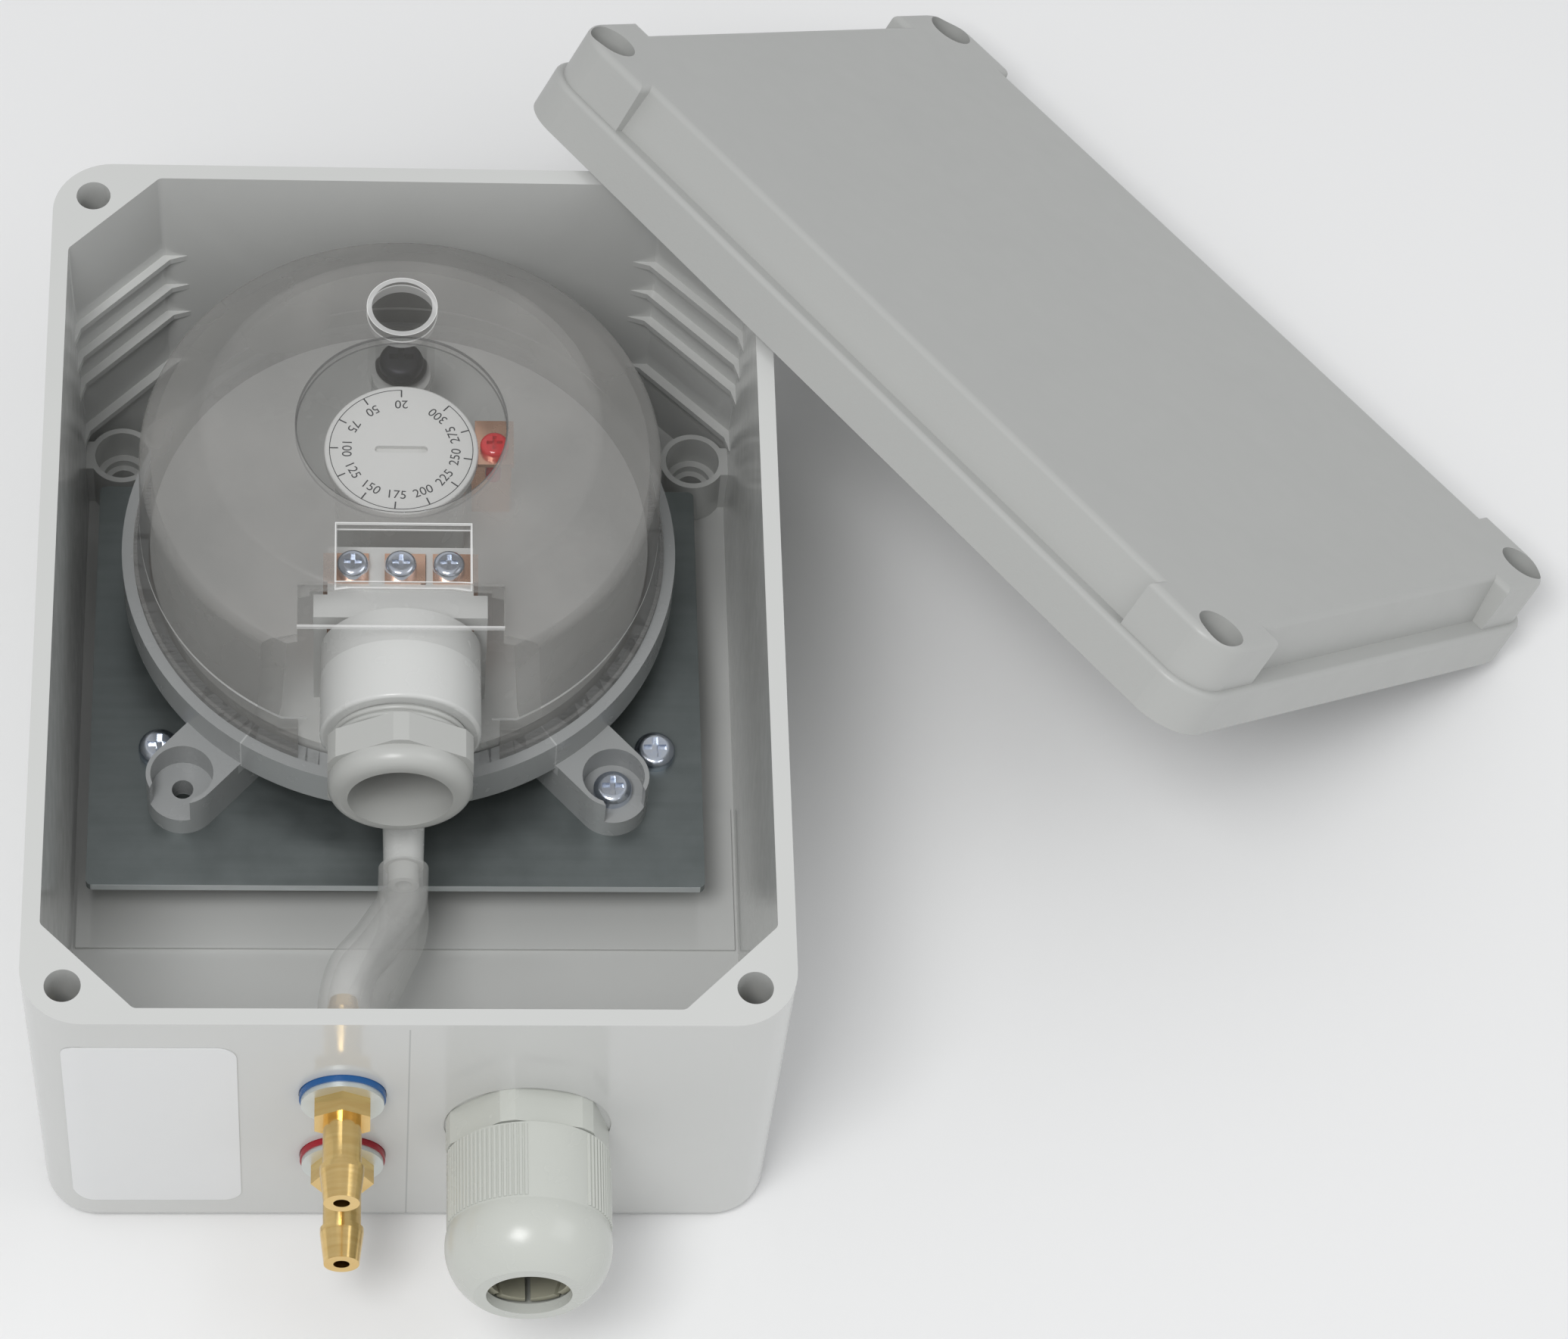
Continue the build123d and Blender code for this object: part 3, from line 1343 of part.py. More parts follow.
# Gland claw: sleeve with fingers that the cap's cone bends in
claw_shoulder = throat_start - claw_back_gap
claw_front = throat_end - claw_front_gap
claw_nose = claw_bore - claw_front_gap
with BuildPart() as gland_claw:
    with BuildSketch(forward_plane(gland_x, gland_z)):
        with BuildLine():
            Polyline(
                (claw_back, claw_radius),
                (claw_shoulder, claw_radius),
                (claw_front, claw_nose),
                (claw_front, claw_nose - claw_wall),
                (claw_shoulder, claw_radius - claw_wall),
                (claw_back, claw_radius - claw_wall),
                close=True,
            )
        make_face()
    revolve(axis=forward_axis(gland_x, gland_z))
    with BuildSketch(front(-claw_front)):
        with Locations((gland_x, gland_z)):
            with PolarLocations(claw_radius, claw_fingers):
                Rectangle(2 * claw_slot_reach, claw_slot)
    extrude(amount=-(claw_front - claw_back - claw_collar), mode=Mode.SUBTRACT)
gland_claw.part.label = "gland_claw"
export_step(gland_claw.part, "parts/gland_claw.step")

# Gland seal: rubber sleeve inside the claw
with BuildPart() as gland_seal:
    with BuildSketch(front(-claw_back)):
        with Locations((gland_x, gland_z)):
            Circle(claw_radius - claw_wall - seat_gap)
            Circle(gland_seal_bore, mode=Mode.SUBTRACT)
    extrude(amount=claw_shoulder - claw_back)
gland_seal.part.label = "gland_seal"
export_step(gland_seal.part, "parts/gland_seal.step")

# Label: blank sticker on the front wall that follows the wall's draft and corner
with BuildPart() as label:
    for grow, mode in ((label_thickness + label_gap, Mode.ADD), (label_gap, Mode.SUBTRACT)):
        with BuildSketch(Plane.XY.offset(box_height)):
            RectangleRounded(box_width + 2 * grow, box_length + 2 * grow, box_corner + grow)
        extrude(amount=-box_height, taper=draft_angle, mode=mode)
    with BuildSketch(front(-box_length / 2 - 1)):
        with Locations(((label_left + label_right) / 2, (label_bottom + label_top) / 2)):
            RectangleRounded(label_right - label_left, label_top - label_bottom, label_corner)
    extrude(amount=-box_corner, mode=Mode.INTERSECT)
label.part.label = "label"
export_step(label.part, "parts/label.step")

# Lid: its low long edge stands on the floor and its raised long edge lies on the box's rim
lid_tilt = asin((box_height + rest_gap) / (box_width - box_wall))
lid_turn_r = radians(lid_turn)
lid_reach = (box_width / 2 - box_wall) * cos(lid_tilt)
lid_centre_x = box_width / 2 + lid_contact_x + lid_reach * cos(lid_turn_r)
lid_centre_y = box_length / 2 - lid_contact_y + lid_reach * sin(lid_turn_r)
print("lid centre", round(lid_centre_x, 2), round(lid_centre_y, 2))
lid_plane = Plane(
    origin=(lid_centre_x, lid_centre_y, box_width / 2 * sin(lid_tilt)),
    x_dir=(cos(lid_turn_r) * cos(lid_tilt), sin(lid_turn_r) * cos(lid_tilt), -sin(lid_tilt)),
    z_dir=(cos(lid_turn_r) * sin(lid_tilt), sin(lid_turn_r) * sin(lid_tilt), cos(lid_tilt)),
)
with BuildPart() as enclosure_lid:
    with BuildSketch(lid_plane):
        RectangleRounded(box_width, box_length, lid_corner)
    extrude(amount=lid_flange, taper=lid_flange_draft)
    flange_heights = [(lid_plane.to_local_coords(e.center()).Z, e) for e in enclosure_lid.edges()]
    fillet([e for height, e in flange_heights if abs(height - lid_flange) < seat_gap], lid_flange_round)
    with BuildSketch(lid_plane.offset(lid_flange)):
        RectangleRounded(
            box_width - 2 * lid_side_inset, box_length - 2 * lid_end_inset, lid_corner - lid_side_inset
        )
    extrude(amount=lid_height - lid_flange, taper=lid_side_draft)
    with BuildSketch(lid_plane.offset(lid_flange)):
        RectangleRounded(
            box_width - 2 * lid_block_inset, box_length - 2 * lid_block_inset, lid_corner - lid_block_inset
        )
        Rectangle(box_width - 2 * lid_block, box_length, mode=Mode.SUBTRACT)
        Rectangle(box_width, box_length - 2 * lid_block, mode=Mode.SUBTRACT)
    extrude(amount=lid_height - lid_flange, taper=lid_flange_draft)
    lid_heights = [(lid_plane.to_local_coords(e.center()).Z, e) for e in enclosure_lid.edges()]
    fillet([e for height, e in lid_heights if abs(height - lid_height) < seat_gap], lid_top_round)
    with BuildSketch(lid_plane) as lid_mouth:
        Rectangle(box_width - 2 * box_wall, box_length - 2 * box_wall)
        chamfer(lid_mouth.vertices(), pillar_leg)
    extrude(amount=lid_lower_depth, mode=Mode.SUBTRACT)
    with BuildSketch(lid_plane.offset(lid_lower_depth)) as lid_well:
        Rectangle(
            box_width - 2 * (lid_side_inset + lid_wall), box_length - 2 * (lid_end_inset + lid_wall)
        )
        chamfer(lid_well.vertices(), pillar_leg)
    extrude(amount=lid_height - lid_roof - lid_lower_depth, taper=lid_side_draft, mode=Mode.SUBTRACT)
    with BuildSketch(lid_plane.offset(lid_recess_floor)):
        with GridLocations(2 * screw_inset_x, 2 * screw_inset_y, 2, 2):
            Circle(lid_recess)
    extrude(amount=lid_height, mode=Mode.SUBTRACT)
    with BuildSketch(lid_plane):
        with GridLocations(2 * screw_inset_x, 2 * screw_inset_y, 2, 2):
            Circle(lid_hole)
    extrude(amount=lid_height, mode=Mode.SUBTRACT)
    with BuildSketch(lid_plane):
        groove_edges = ((lid_groove_inset, Mode.ADD), (lid_groove_inset + lid_groove_width, Mode.SUBTRACT))
        for inset, mode in groove_edges:
            RectangleRounded(box_width - 2 * inset, box_length - 2 * inset, lid_corner - inset, mode=mode)
    extrude(amount=lid_groove_depth, mode=Mode.SUBTRACT)
enclosure_lid.part.label = "enclosure_lid"
export_step(enclosure_lid.part, "parts/enclosure_lid.step")

# Lid gasket: foam cord in the lid's groove
with BuildPart() as lid_gasket:
    cord_edges = (
        (lid_groove_inset + seat_gap, Mode.ADD),
        (lid_groove_inset + lid_groove_width - seat_gap, Mode.SUBTRACT),
    )
    with BuildSketch(lid_plane.offset(seat_gap)):
        for inset, mode in cord_edges:
            RectangleRounded(box_width - 2 * inset, box_length - 2 * inset, lid_corner - inset, mode=mode)
    extrude(amount=lid_groove_depth - 2 * seat_gap)
lid_gasket.part.label = "lid_gasket"
export_step(lid_gasket.part, "parts/lid_gasket.step")
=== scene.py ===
"""Differential pressure switch in a wall box, with its lid leaning beside it."""

from math import cos, pi, radians, sin

import bpy
import bmesh
from mathutils import Matrix, Vector

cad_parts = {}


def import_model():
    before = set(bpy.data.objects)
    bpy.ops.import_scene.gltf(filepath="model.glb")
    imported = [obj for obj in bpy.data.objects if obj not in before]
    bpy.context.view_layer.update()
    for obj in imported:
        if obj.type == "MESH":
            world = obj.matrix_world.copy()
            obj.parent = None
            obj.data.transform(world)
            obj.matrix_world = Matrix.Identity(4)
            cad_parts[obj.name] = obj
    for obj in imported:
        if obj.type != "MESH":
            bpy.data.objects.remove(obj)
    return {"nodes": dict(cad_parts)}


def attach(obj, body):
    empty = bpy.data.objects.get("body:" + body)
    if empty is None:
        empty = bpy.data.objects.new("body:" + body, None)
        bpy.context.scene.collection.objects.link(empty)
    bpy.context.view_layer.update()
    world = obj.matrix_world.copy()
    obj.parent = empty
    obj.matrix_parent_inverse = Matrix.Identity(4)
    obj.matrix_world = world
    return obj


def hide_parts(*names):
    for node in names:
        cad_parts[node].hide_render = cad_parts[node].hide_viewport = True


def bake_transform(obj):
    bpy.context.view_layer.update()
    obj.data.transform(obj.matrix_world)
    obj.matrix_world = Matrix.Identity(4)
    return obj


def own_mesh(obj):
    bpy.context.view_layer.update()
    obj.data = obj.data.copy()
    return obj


# All lengths are in metres, in the part's own frame: X is right, -Y is the front and Z is up.
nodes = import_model()["nodes"]
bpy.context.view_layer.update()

# Camera: stands above the front of the box and looks down into it, as the photograph was taken.
# Its place, its turn and its focal length in pixels were solved from the photograph.
photo_width, photo_focus, sensor_width = 2072.0, 7271.17, 36.0
camera_data = bpy.data.cameras.new("camera")
camera_data.sensor_fit = "HORIZONTAL"
camera_data.sensor_width = sensor_width
camera_data.lens = sensor_width * photo_focus / photo_width
camera_data.clip_start, camera_data.clip_end = 0.05, 10.0
camera = bpy.data.objects.new("camera", camera_data)
camera.location = (-0.007203, -0.439781, 0.750600)
camera.rotation_euler = (radians(31.75), radians(-3.963), radians(-1.933))
bpy.context.scene.collection.objects.link(camera)
bpy.context.scene.camera = camera

# Studio light: a soft box close to the camera, a weaker one on the right, and a white room.
# Both soft boxes point at the middle of the box and its lid.
lit_point = Vector((0.02, 0.0, 0.02))
white, room_tint, room_strength = (1.0, 1.0, 1.0), (0.98, 0.99, 1.0), 0.58


def soft_light(name, place, width, height, power, tint):
    """A rectangular lamp that points from its place at the lit point."""
    lamp = bpy.data.lights.new(name, "AREA")
    lamp.shape = "RECTANGLE"
    lamp.size, lamp.size_y = width, height
    lamp.energy = power
    lamp.color = tint
    lamp_object = bpy.data.objects.new(name, lamp)
    lamp_object.location = place
    lamp_object.rotation_euler = (lit_point - Vector(place)).to_track_quat("-Z", "Y").to_euler()
    bpy.context.scene.collection.objects.link(lamp_object)


soft_light("key_light", (-0.22, -0.42, 0.95), width=0.35, height=0.35, power=4.4, tint=white)
soft_light("right_light", (0.75, -0.15, 0.75), width=0.6, height=0.5, power=1.3, tint=room_tint)
world = bpy.data.worlds.new("room")
world.use_nodes = True
world.node_tree.nodes["Background"].inputs["Color"].default_value = (*room_tint, 1.0)
world.node_tree.nodes["Background"].inputs["Strength"].default_value = room_strength
bpy.context.scene.world = world
bpy.context.scene.view_settings.view_transform = "Standard"

# Wall box: light grey tray, moulded in one piece with its pillars, ledges and screw wells.
# Its skin is glossy with a faint grain. The mould's parting line runs down the middle of the front
# wall and ends below the rim.
cloud_scale, cloud_detail, cloud_share = 60.0, 3.0, 0.6
satin_scale, satin_spread = 240.0, 0.12
grain_scale, grain_height = 2600.0, 0.00004
parting_half, parting_front, parting_top, parting_share = 0.00012, -0.0735, 0.0625, 0.55


class Field:
    """A socket in a recipe: sums, products and comparisons of fields add their Math nodes."""

    def __init__(self, recipe, socket):
        self.recipe = recipe
        self.socket = socket

    def maths(self, operation, *values):
        """Adds one Math node, its sockets in the order of the values."""
        return self.recipe.node("ShaderNodeMath", {"operation": operation}, dict(enumerate(values)))

    def __add__(self, other):
        return self.maths("ADD", self, other)

    def __radd__(self, other):
        return self.maths("ADD", other, self)

    def __sub__(self, other):
        return self.maths("SUBTRACT", self, other)

    def __rsub__(self, other):
        return self.maths("SUBTRACT", other, self)

    def __mul__(self, other):
        return self.maths("MULTIPLY", self, other)

    def __rmul__(self, other):
        return self.maths("MULTIPLY", other, self)

    def __truediv__(self, other):
        return self.maths("DIVIDE", self, other)

    def __pow__(self, other):
        return self.maths("POWER", self, other)

    def __abs__(self):
        return self.maths("ABSOLUTE", self)

    def __gt__(self, other):
        return self.maths("GREATER_THAN", self, other)

    def __lt__(self, other):
        return self.maths("LESS_THAN", self, other)

    def sine(self):
        return self.maths("SINE", self)

    def cosine(self):
        return self.maths("COSINE", self)

    def floor(self):
        return self.maths("FLOOR", self)


class Recipe:
    """A node tree for a finish or for a piece that repeats."""

    def node(self, kind, settings, inputs, output=0):
        """Adds a node: its settings first, then the values or links of its sockets."""
        made = self.tree.nodes.new(kind)
        for key, value in settings.items():
            setattr(made, key, value)
        for key, value in inputs.items():
            if isinstance(value, Field):
                self.tree.links.new(value.socket, made.inputs[key])
            else:
                made.inputs[key].default_value = value
        return Field(self, made.outputs[output])


class Finish(Recipe):
    """A material with one Principled shader. It starts with mean values, which patterns then vary."""

    def __init__(self, name, colour, roughness, metallic=0.0):
        self.material = bpy.data.materials.new(name)
        self.material.use_nodes = True
        self.tree = self.material.node_tree
        self.shader = self.tree.nodes["Principled BSDF"]
        self.set("Base Color", (*colour, 1.0))
        self.set("Roughness", roughness)
        self.set("Metallic", metallic)

    def set(self, key, value):
        """A shader input gets a number, a colour or a field."""
        if isinstance(value, Field):
            self.tree.links.new(value.socket, self.shader.inputs[key])
        else:
            self.shader.inputs[key].default_value = value

    def vary(self, key, low, spread, pattern):
        """A shader input rises from its low value by a spread, where the pattern goes from 0 to 1."""
        self.set(key, low + spread * pattern)

    def axes(self):
        """The three object coordinates as fields, in the part's own metres."""
        at = self.node("ShaderNodeTexCoord", {}, {}, "Object")
        return [self.node("ShaderNodeSeparateXYZ", {}, {0: at}, axis) for axis in range(3)]

    def noise(self, scale, detail=2.0, stretch=(1.0, 1.0, 1.0)):
        """Noise from 0 to 1, its scale in cycles per metre."""
        at = self.node("ShaderNodeTexCoord", {}, {}, "Object")
        laid = self.node("ShaderNodeMapping", {}, {"Vector": at, "Scale": stretch})
        return self.node("ShaderNodeTexNoise", {}, {"Vector": laid, "Scale": scale, "Detail": detail})

    def mix(self, factor, first, second):
        """One colour or field where the factor is 0, the other where it is 1."""
        first, second = [end if isinstance(end, Field) else (*end, 1.0) for end in (first, second)]
        return self.node("ShaderNodeMix", {"data_type": "RGBA"}, {0: factor, 6: first, 7: second}, 2)

    def bump(self, pattern, strength, height):
        """Small relief on the surface."""
        relief = {"Height": pattern, "Strength": strength, "Distance": height}
        self.set("Normal", self.node("ShaderNodeBump", {}, relief))

    def on(self, *names):
        """The CAD nodes of these names show this finish."""
        for name in names:
            for slot in nodes[name].material_slots:
                slot.material = self.material


def moulded(name, colour, shade, roughness, grain):
    """Injection-moulded plastic: faint clouding in the colour and a fine satin skin."""
    finish = Finish(name, colour, roughness)
    clouding = finish.noise(cloud_scale, cloud_detail) * cloud_share
    finish.ground = finish.mix(clouding, colour, shade)
    finish.set("Base Color", finish.ground)
    finish.vary("Roughness", low=roughness, spread=satin_spread, pattern=finish.noise(satin_scale))
    finish.bump(finish.noise(grain_scale), strength=grain, height=grain_height)
    return finish


box_grey, box_shade, parting_grey = (0.62, 0.625, 0.61), (0.58, 0.587, 0.575), (0.33, 0.34, 0.34)
box_finish = moulded("box_plastic", box_grey, box_shade, roughness=0.08, grain=0.1)
box_x, box_y, box_z = box_finish.axes()
parting = (abs(box_x) < parting_half) * (box_y < parting_front) * (box_z < parting_top)
box_colour = box_finish.mix(parting * parting_share, box_finish.ground, parting_grey)
box_finish.set("Base Color", box_colour)
box_finish.on("enclosure_base")

# Thread inserts: turned brass bushes, pressed into the four pillars to take the lid's screws.
# They are seen at the bottom of the pillars' holes.
bush_finish = Finish("bush_brass", (0.70, 0.58, 0.36), roughness=0.3, metallic=1.0)
bush_finish.vary("Roughness", low=0.22, spread=0.2, pattern=bush_finish.noise(900.0))
bush_finish.on(*[f"thread_insert_{number}" for number in (1, 2, 3, 4)])

# Lid: the same plastic, moulded hollow with screw recesses at its corners. Its grey is set darker
# than the box's as painted shade, because its top faces away from the key light.
# It was taken off and leans with one long edge on the box's rim.
lid_shaded_grey, lid_shaded_tone = (0.46, 0.465, 0.45), (0.43, 0.435, 0.425)
lid_finish = moulded("lid_plastic", lid_shaded_grey, lid_shaded_tone, roughness=0.34, grain=0.4)
lid_finish.on("enclosure_lid")

# Lid gasket: a cord of dark foamed rubber, laid in the lid's groove to seal it on the box's rim.
# Its cut cells give it a coarse matt skin.
gasket_finish = Finish("foam_cord", (0.22, 0.22, 0.23), roughness=0.9)
gasket_finish.bump(gasket_finish.noise(1800.0), strength=0.6, height=0.0002)
gasket_finish.on("lid_gasket")

# Mounting plate: galvanised sheet, screwed on the bosses of the box's floor to carry the switch.
# It is dark grey-green with fine rolling marks from left to right, and its sheared front edge is
# bright.
plate_grey, plate_dark, plate_light = (0.20, 0.225, 0.225), (0.15, 0.17, 0.17), (0.30, 0.33, 0.33)
sheared_grey, sheared_front = (0.62, 0.65, 0.66), -0.02435
bloom_share, rolled_share = 0.7, 0.3
plate_finish = Finish("galvanised_sheet", plate_grey, roughness=0.42, metallic=0.85)
bloom = plate_finish.noise(160.0, detail=4.0)
rolled = plate_finish.noise(700.0, stretch=(0.05, 1.0, 1.0))
plate_y = plate_finish.axes()[1]
sheet_colour = plate_finish.mix(bloom_share * bloom + rolled_share * rolled, plate_dark, plate_light)
plate_colour = plate_finish.mix(plate_y < sheared_front, sheet_colour, sheared_grey)
plate_finish.set("Base Color", plate_colour)
plate_finish.vary("Roughness", low=0.34, spread=0.2, pattern=bloom)
plate_finish.bump(rolled, strength=0.3, height=0.00003)
plate_finish.on("mounting_plate")

# Screws: steel with a pressed cross in the head, zinc-plated with a cold blue cast. They hold the
# plate to the box and the switch to the plate, and clamp the wires on the terminals.
# The screw at the bottom of the cover's well is blackened.
zinc_blue, zinc_deep, zinc_pale = (0.58, 0.64, 0.74), (0.50, 0.57, 0.72), (0.78, 0.80, 0.82)
zinc_finish = Finish("blue_zinc", zinc_blue, roughness=0.16, metallic=1.0)
zinc_bloom = zinc_finish.noise(900.0, detail=3.0)
zinc_finish.set("Base Color", zinc_finish.mix(zinc_bloom, zinc_deep, zinc_pale))
zinc_finish.vary("Roughness", low=0.12, spread=0.16, pattern=zinc_bloom)
zinc_finish.on("lug_screw")
zinc_finish.on(*[f"plate_screw_{number}" for number in (1, 2, 3, 4)])
zinc_finish.on(*[f"terminal_screw_{number}" for number in (1, 2, 3)])
dark_finish = Finish("blackened_steel", (0.03, 0.03, 0.035), roughness=0.35, metallic=0.8)
dark_finish.vary("Roughness", low=0.3, spread=0.2, pattern=dark_finish.noise(700.0))
dark_finish.on("cover_screw")

# Lower housing: silver-grey moulding that carries the membrane, with two lugs and the lower nipple.
# It is screwed to the plate through its lugs. A pale parting line runs up its ring on either side
# of the front.
switch_x, switch_y = -0.0015, 0.0276
seam_bearing, seam_half, seam_start, seam_low, seam_share = radians(34.0), 0.00013, 0.02, 0.0205, 0.7
ring_grey, ring_shade, seam_grey = (0.40, 0.41, 0.41), (0.36, 0.37, 0.375), (0.62, 0.63, 0.63)
ring_finish = moulded("housing_grey", ring_grey, ring_shade, roughness=0.2, grain=0.2)
ring_x, ring_y, ring_z = ring_finish.axes()
across, ahead = abs(ring_x - switch_x), switch_y - ring_y
beside_seam = abs(across * cos(seam_bearing) - ahead * sin(seam_bearing))
seam = (beside_seam < seam_half) * (ahead > seam_start) * (ring_z > seam_low)
ring_finish.set("Base Color", ring_finish.mix(seam * seam_share, ring_finish.ground, seam_grey))
ring_finish.on("lower_housing")

# Upper housing: white moulding with the cable collar, the dial's turret and the upper nipple.
# It sits on the lower one and clamps the membrane's rim between them.
housing_white, housing_shade = (0.64, 0.645, 0.63), (0.60, 0.605, 0.59)
white_finish = moulded("housing_white", housing_white, housing_shade, roughness=0.2, grain=0.1)
white_finish.on("upper_housing")

# Cable nut: white moulding, screwed into the collar, where it clamps a rubber ring on the cable.
# The last turns of its thread stand out of the collar, in front of its hexagon.
# The nut's white is set greyer than the housing's: painted shade for the shadow under the collar.
nut_shaded_white, nut_shaded_tone = (0.50, 0.505, 0.485), (0.46, 0.465, 0.45)
nut_finish = moulded("nut_shaded_white", nut_shaded_white, nut_shaded_tone, roughness=0.25, grain=0.1)
nut_finish.on("cable_nut")
thread_start, thread_turn, turn_steps, ridge_sides = (-0.0014, -0.0178, 0.0475), pi / 2, 48, 6


class Pattern(Recipe):
    """A piece that repeats or follows a path: a geometry tree with named sizes, then a plain mesh."""

    def __init__(self, name, **sizes):
        self.name = name
        self.sizes = sizes
        self.tree = bpy.data.node_groups.new(name, "GeometryNodeTree")
        self.tree.interface.new_socket("Geometry", in_out="OUTPUT", socket_type="NodeSocketGeometry")
        self.identifiers = {}
        for key, value in sizes.items():
            kind = "NodeSocketInt" if isinstance(value, int) else "NodeSocketFloat"
            socket = self.tree.interface.new_socket(key, in_out="INPUT", socket_type=kind)
            self.identifiers[key] = socket.identifier
        entry = self.tree.nodes.new("NodeGroupInput")
        self.size = {key: Field(self, entry.outputs[key]) for key in sizes}

    def made(self, shape, finish, body, slot):
        """Realises the pattern, gives it its finish and lets it ride on a body."""
        settled = self.node("GeometryNodeRealizeInstances", {}, {"Geometry": shape})
        dressed = {"Geometry": settled, "Material": finish.material}
        painted = self.node("GeometryNodeSetMaterial", {}, dressed)
        self.tree.links.new(painted.socket, self.tree.nodes.new("NodeGroupOutput").inputs[0])
        piece = bpy.data.objects.new(self.name, bpy.data.meshes.new(self.name))
        bpy.context.scene.collection.objects.link(piece)
        modifier = piece.modifiers.new(self.name, "NODES")
        modifier.node_group = self.tree
        for key, value in self.sizes.items():
            modifier[self.identifiers[key]] = value
        seen = piece.evaluated_get(bpy.context.evaluated_depsgraph_get())
        mesh = bpy.data.meshes.new_from_object(seen)
        piece.modifiers.clear()
        piece.data = mesh
        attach(piece, body)


thread = Pattern("cable_nut_thread", turns=2.6, root=0.0099, pitch=0.0011, depth=0.0005)
helix = thread.node(
    "GeometryNodeCurveSpiral",
    {},
    {
        "Resolution": turn_steps,
        "Rotations": thread.size["turns"],
        "Start Radius": thread.size["root"],
        "End Radius": thread.size["root"],
        "Height": thread.size["turns"] * thread.size["pitch"],
    },
)
ridge = thread.node(
    "GeometryNodeCurvePrimitiveCircle", {}, {"Resolution": ridge_sides, "Radius": thread.size["depth"]}
)
wound = thread.node("GeometryNodeCurveToMesh", {}, {"Curve": helix, "Profile Curve": ridge})
laid = {"Geometry": wound, "Translation": thread_start, "Rotation": (thread_turn, 0.0, 0.0)}
thread.made(thread.node("GeometryNodeTransform", {}, laid), nut_finish, "base", "white_plastic")

# Seals: black rubber rings, moulded. One lies in the collar behind the cable nut, and one is the
# sleeve that the gland's claw presses on its cable.
rubber_finish = Finish("black_rubber", (0.02, 0.02, 0.022), roughness=0.55)
rubber_finish.bump(rubber_finish.noise(1400.0), strength=0.3, height=0.0001)
rubber_finish.on("cable_seal", "gland_seal")

# Setting spring: wound from bright spring steel, between the membrane's plate and the seat.
# The seat presses it shorter while its foot stays. A merged copy of it is shown in its place.
merge_reach, sharp_angle, seat_travel = 0.0000001, radians(30.0), 0.003
spring_finish = Finish("spring_steel", (0.52, 0.52, 0.54), roughness=0.25, metallic=1.0)
spring_finish.vary("Roughness", low=0.2, spread=0.15, pattern=spring_finish.noise(1200.0))
spring_finish.on("setting_spring")


def soft_copy(node, name):
    """A copy of a CAD node's mesh, merged to one skin, shown in place of the hidden node."""
    mesh = nodes[node].data.copy()
    mesh.transform(nodes[node].matrix_world)
    skin = bmesh.new()
    skin.from_mesh(mesh)
    bmesh.ops.remove_doubles(skin, verts=skin.verts, dist=merge_reach)
    skin.to_mesh(mesh)
    skin.free()
    mesh.attributes.remove(mesh.attributes["custom_normal"])
    mesh.shade_smooth()
    mesh.set_sharp_from_angle(angle=sharp_angle)
    piece = bpy.data.objects.new(name, mesh)
    bpy.context.scene.collection.objects.link(piece)
    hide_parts(node)
    return piece


spring_soft = soft_copy("setting_spring", "spring_coil")
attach(spring_soft, "base")
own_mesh(spring_soft)

# Membrane: moulded from red silicone, with its rim clamped between the housings. Its middle rises
# with its plate while its rim stays. A merged copy of it is shown in its place.
membrane_finish = Finish("red_silicone", (0.45, 0.16, 0.12), roughness=0.6)
membrane_finish.bump(membrane_finish.noise(900.0), strength=0.2, height=0.0001)
membrane_finish.on("diaphragm")
membrane_soft = soft_copy("diaphragm", "membrane_skin")
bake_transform(membrane_soft)

# Membrane's plate: stiff discs pressed from aluminium, with the membrane's middle between them.
# Its pin pushes the contact lever up.
aluminium_finish = Finish("pressed_aluminium", (0.75, 0.76, 0.77), roughness=0.3, metallic=1.0)
pressed = aluminium_finish.noise(500.0, stretch=(1.0, 0.05, 1.0))
aluminium_finish.vary("Roughness", low=0.28, spread=0.15, pattern=pressed)
aluminium_finish.on("diaphragm_plate")

# Brass pieces: the spindle and the spring seat under the dial, and the hose barbs with their lock
# nuts. All were turned on a lathe, which left fine rings round them.
brass_yellow, brass_deep, brass_pale = (0.80, 0.56, 0.22), (0.72, 0.47, 0.16), (0.90, 0.68, 0.32)
brass_finish = Finish("turned_brass", brass_yellow, roughness=0.2, metallic=1.0)
turned = brass_finish.noise(1600.0, stretch=(0.1, 1.0, 0.1))
brass_finish.set("Base Color", brass_finish.mix(turned, brass_deep, brass_pale))
brass_finish.vary("Roughness", low=0.14, spread=0.12, pattern=turned)
brass_finish.bump(turned, strength=0.1, height=0.00003)
brass_finish.on("dial_spindle", "spring_seat")
brass_finish.on("upper_hose_fitting", "lower_hose_fitting", "upper_fitting_nut", "lower_fitting_nut")

# Contacts: blade, strips and the bracket beside the dial, stamped and bent from bright copper sheet.
# The bracket holds the calibration screw, which is locked with a drop of red lacquer.
copper_red, copper_deep, copper_pale = (0.86, 0.50, 0.34), (0.74, 0.40, 0.26), (0.92, 0.62, 0.46)
copper_finish = Finish("bright_copper", copper_red, roughness=0.22, metallic=1.0)
tarnish = copper_finish.noise(350.0, detail=3.0)
copper_finish.set("Base Color", copper_finish.mix(tarnish, copper_deep, copper_pale))
copper_finish.vary("Roughness", low=0.16, spread=0.2, pattern=tarnish)
copper_finish.on("contact_lever", "contact_upper", "contact_lower", "common_terminal")
copper_finish.on("calibration_bracket")
lacquer_finish = Finish("red_lacquer", (0.62, 0.01, 0.015), roughness=0.15)
lacquer_finish.set("Coat Weight", 0.6)
lacquer_finish.bump(lacquer_finish.noise(900.0), strength=0.5, height=0.0002)
lacquer_finish.on("calibration_screw")
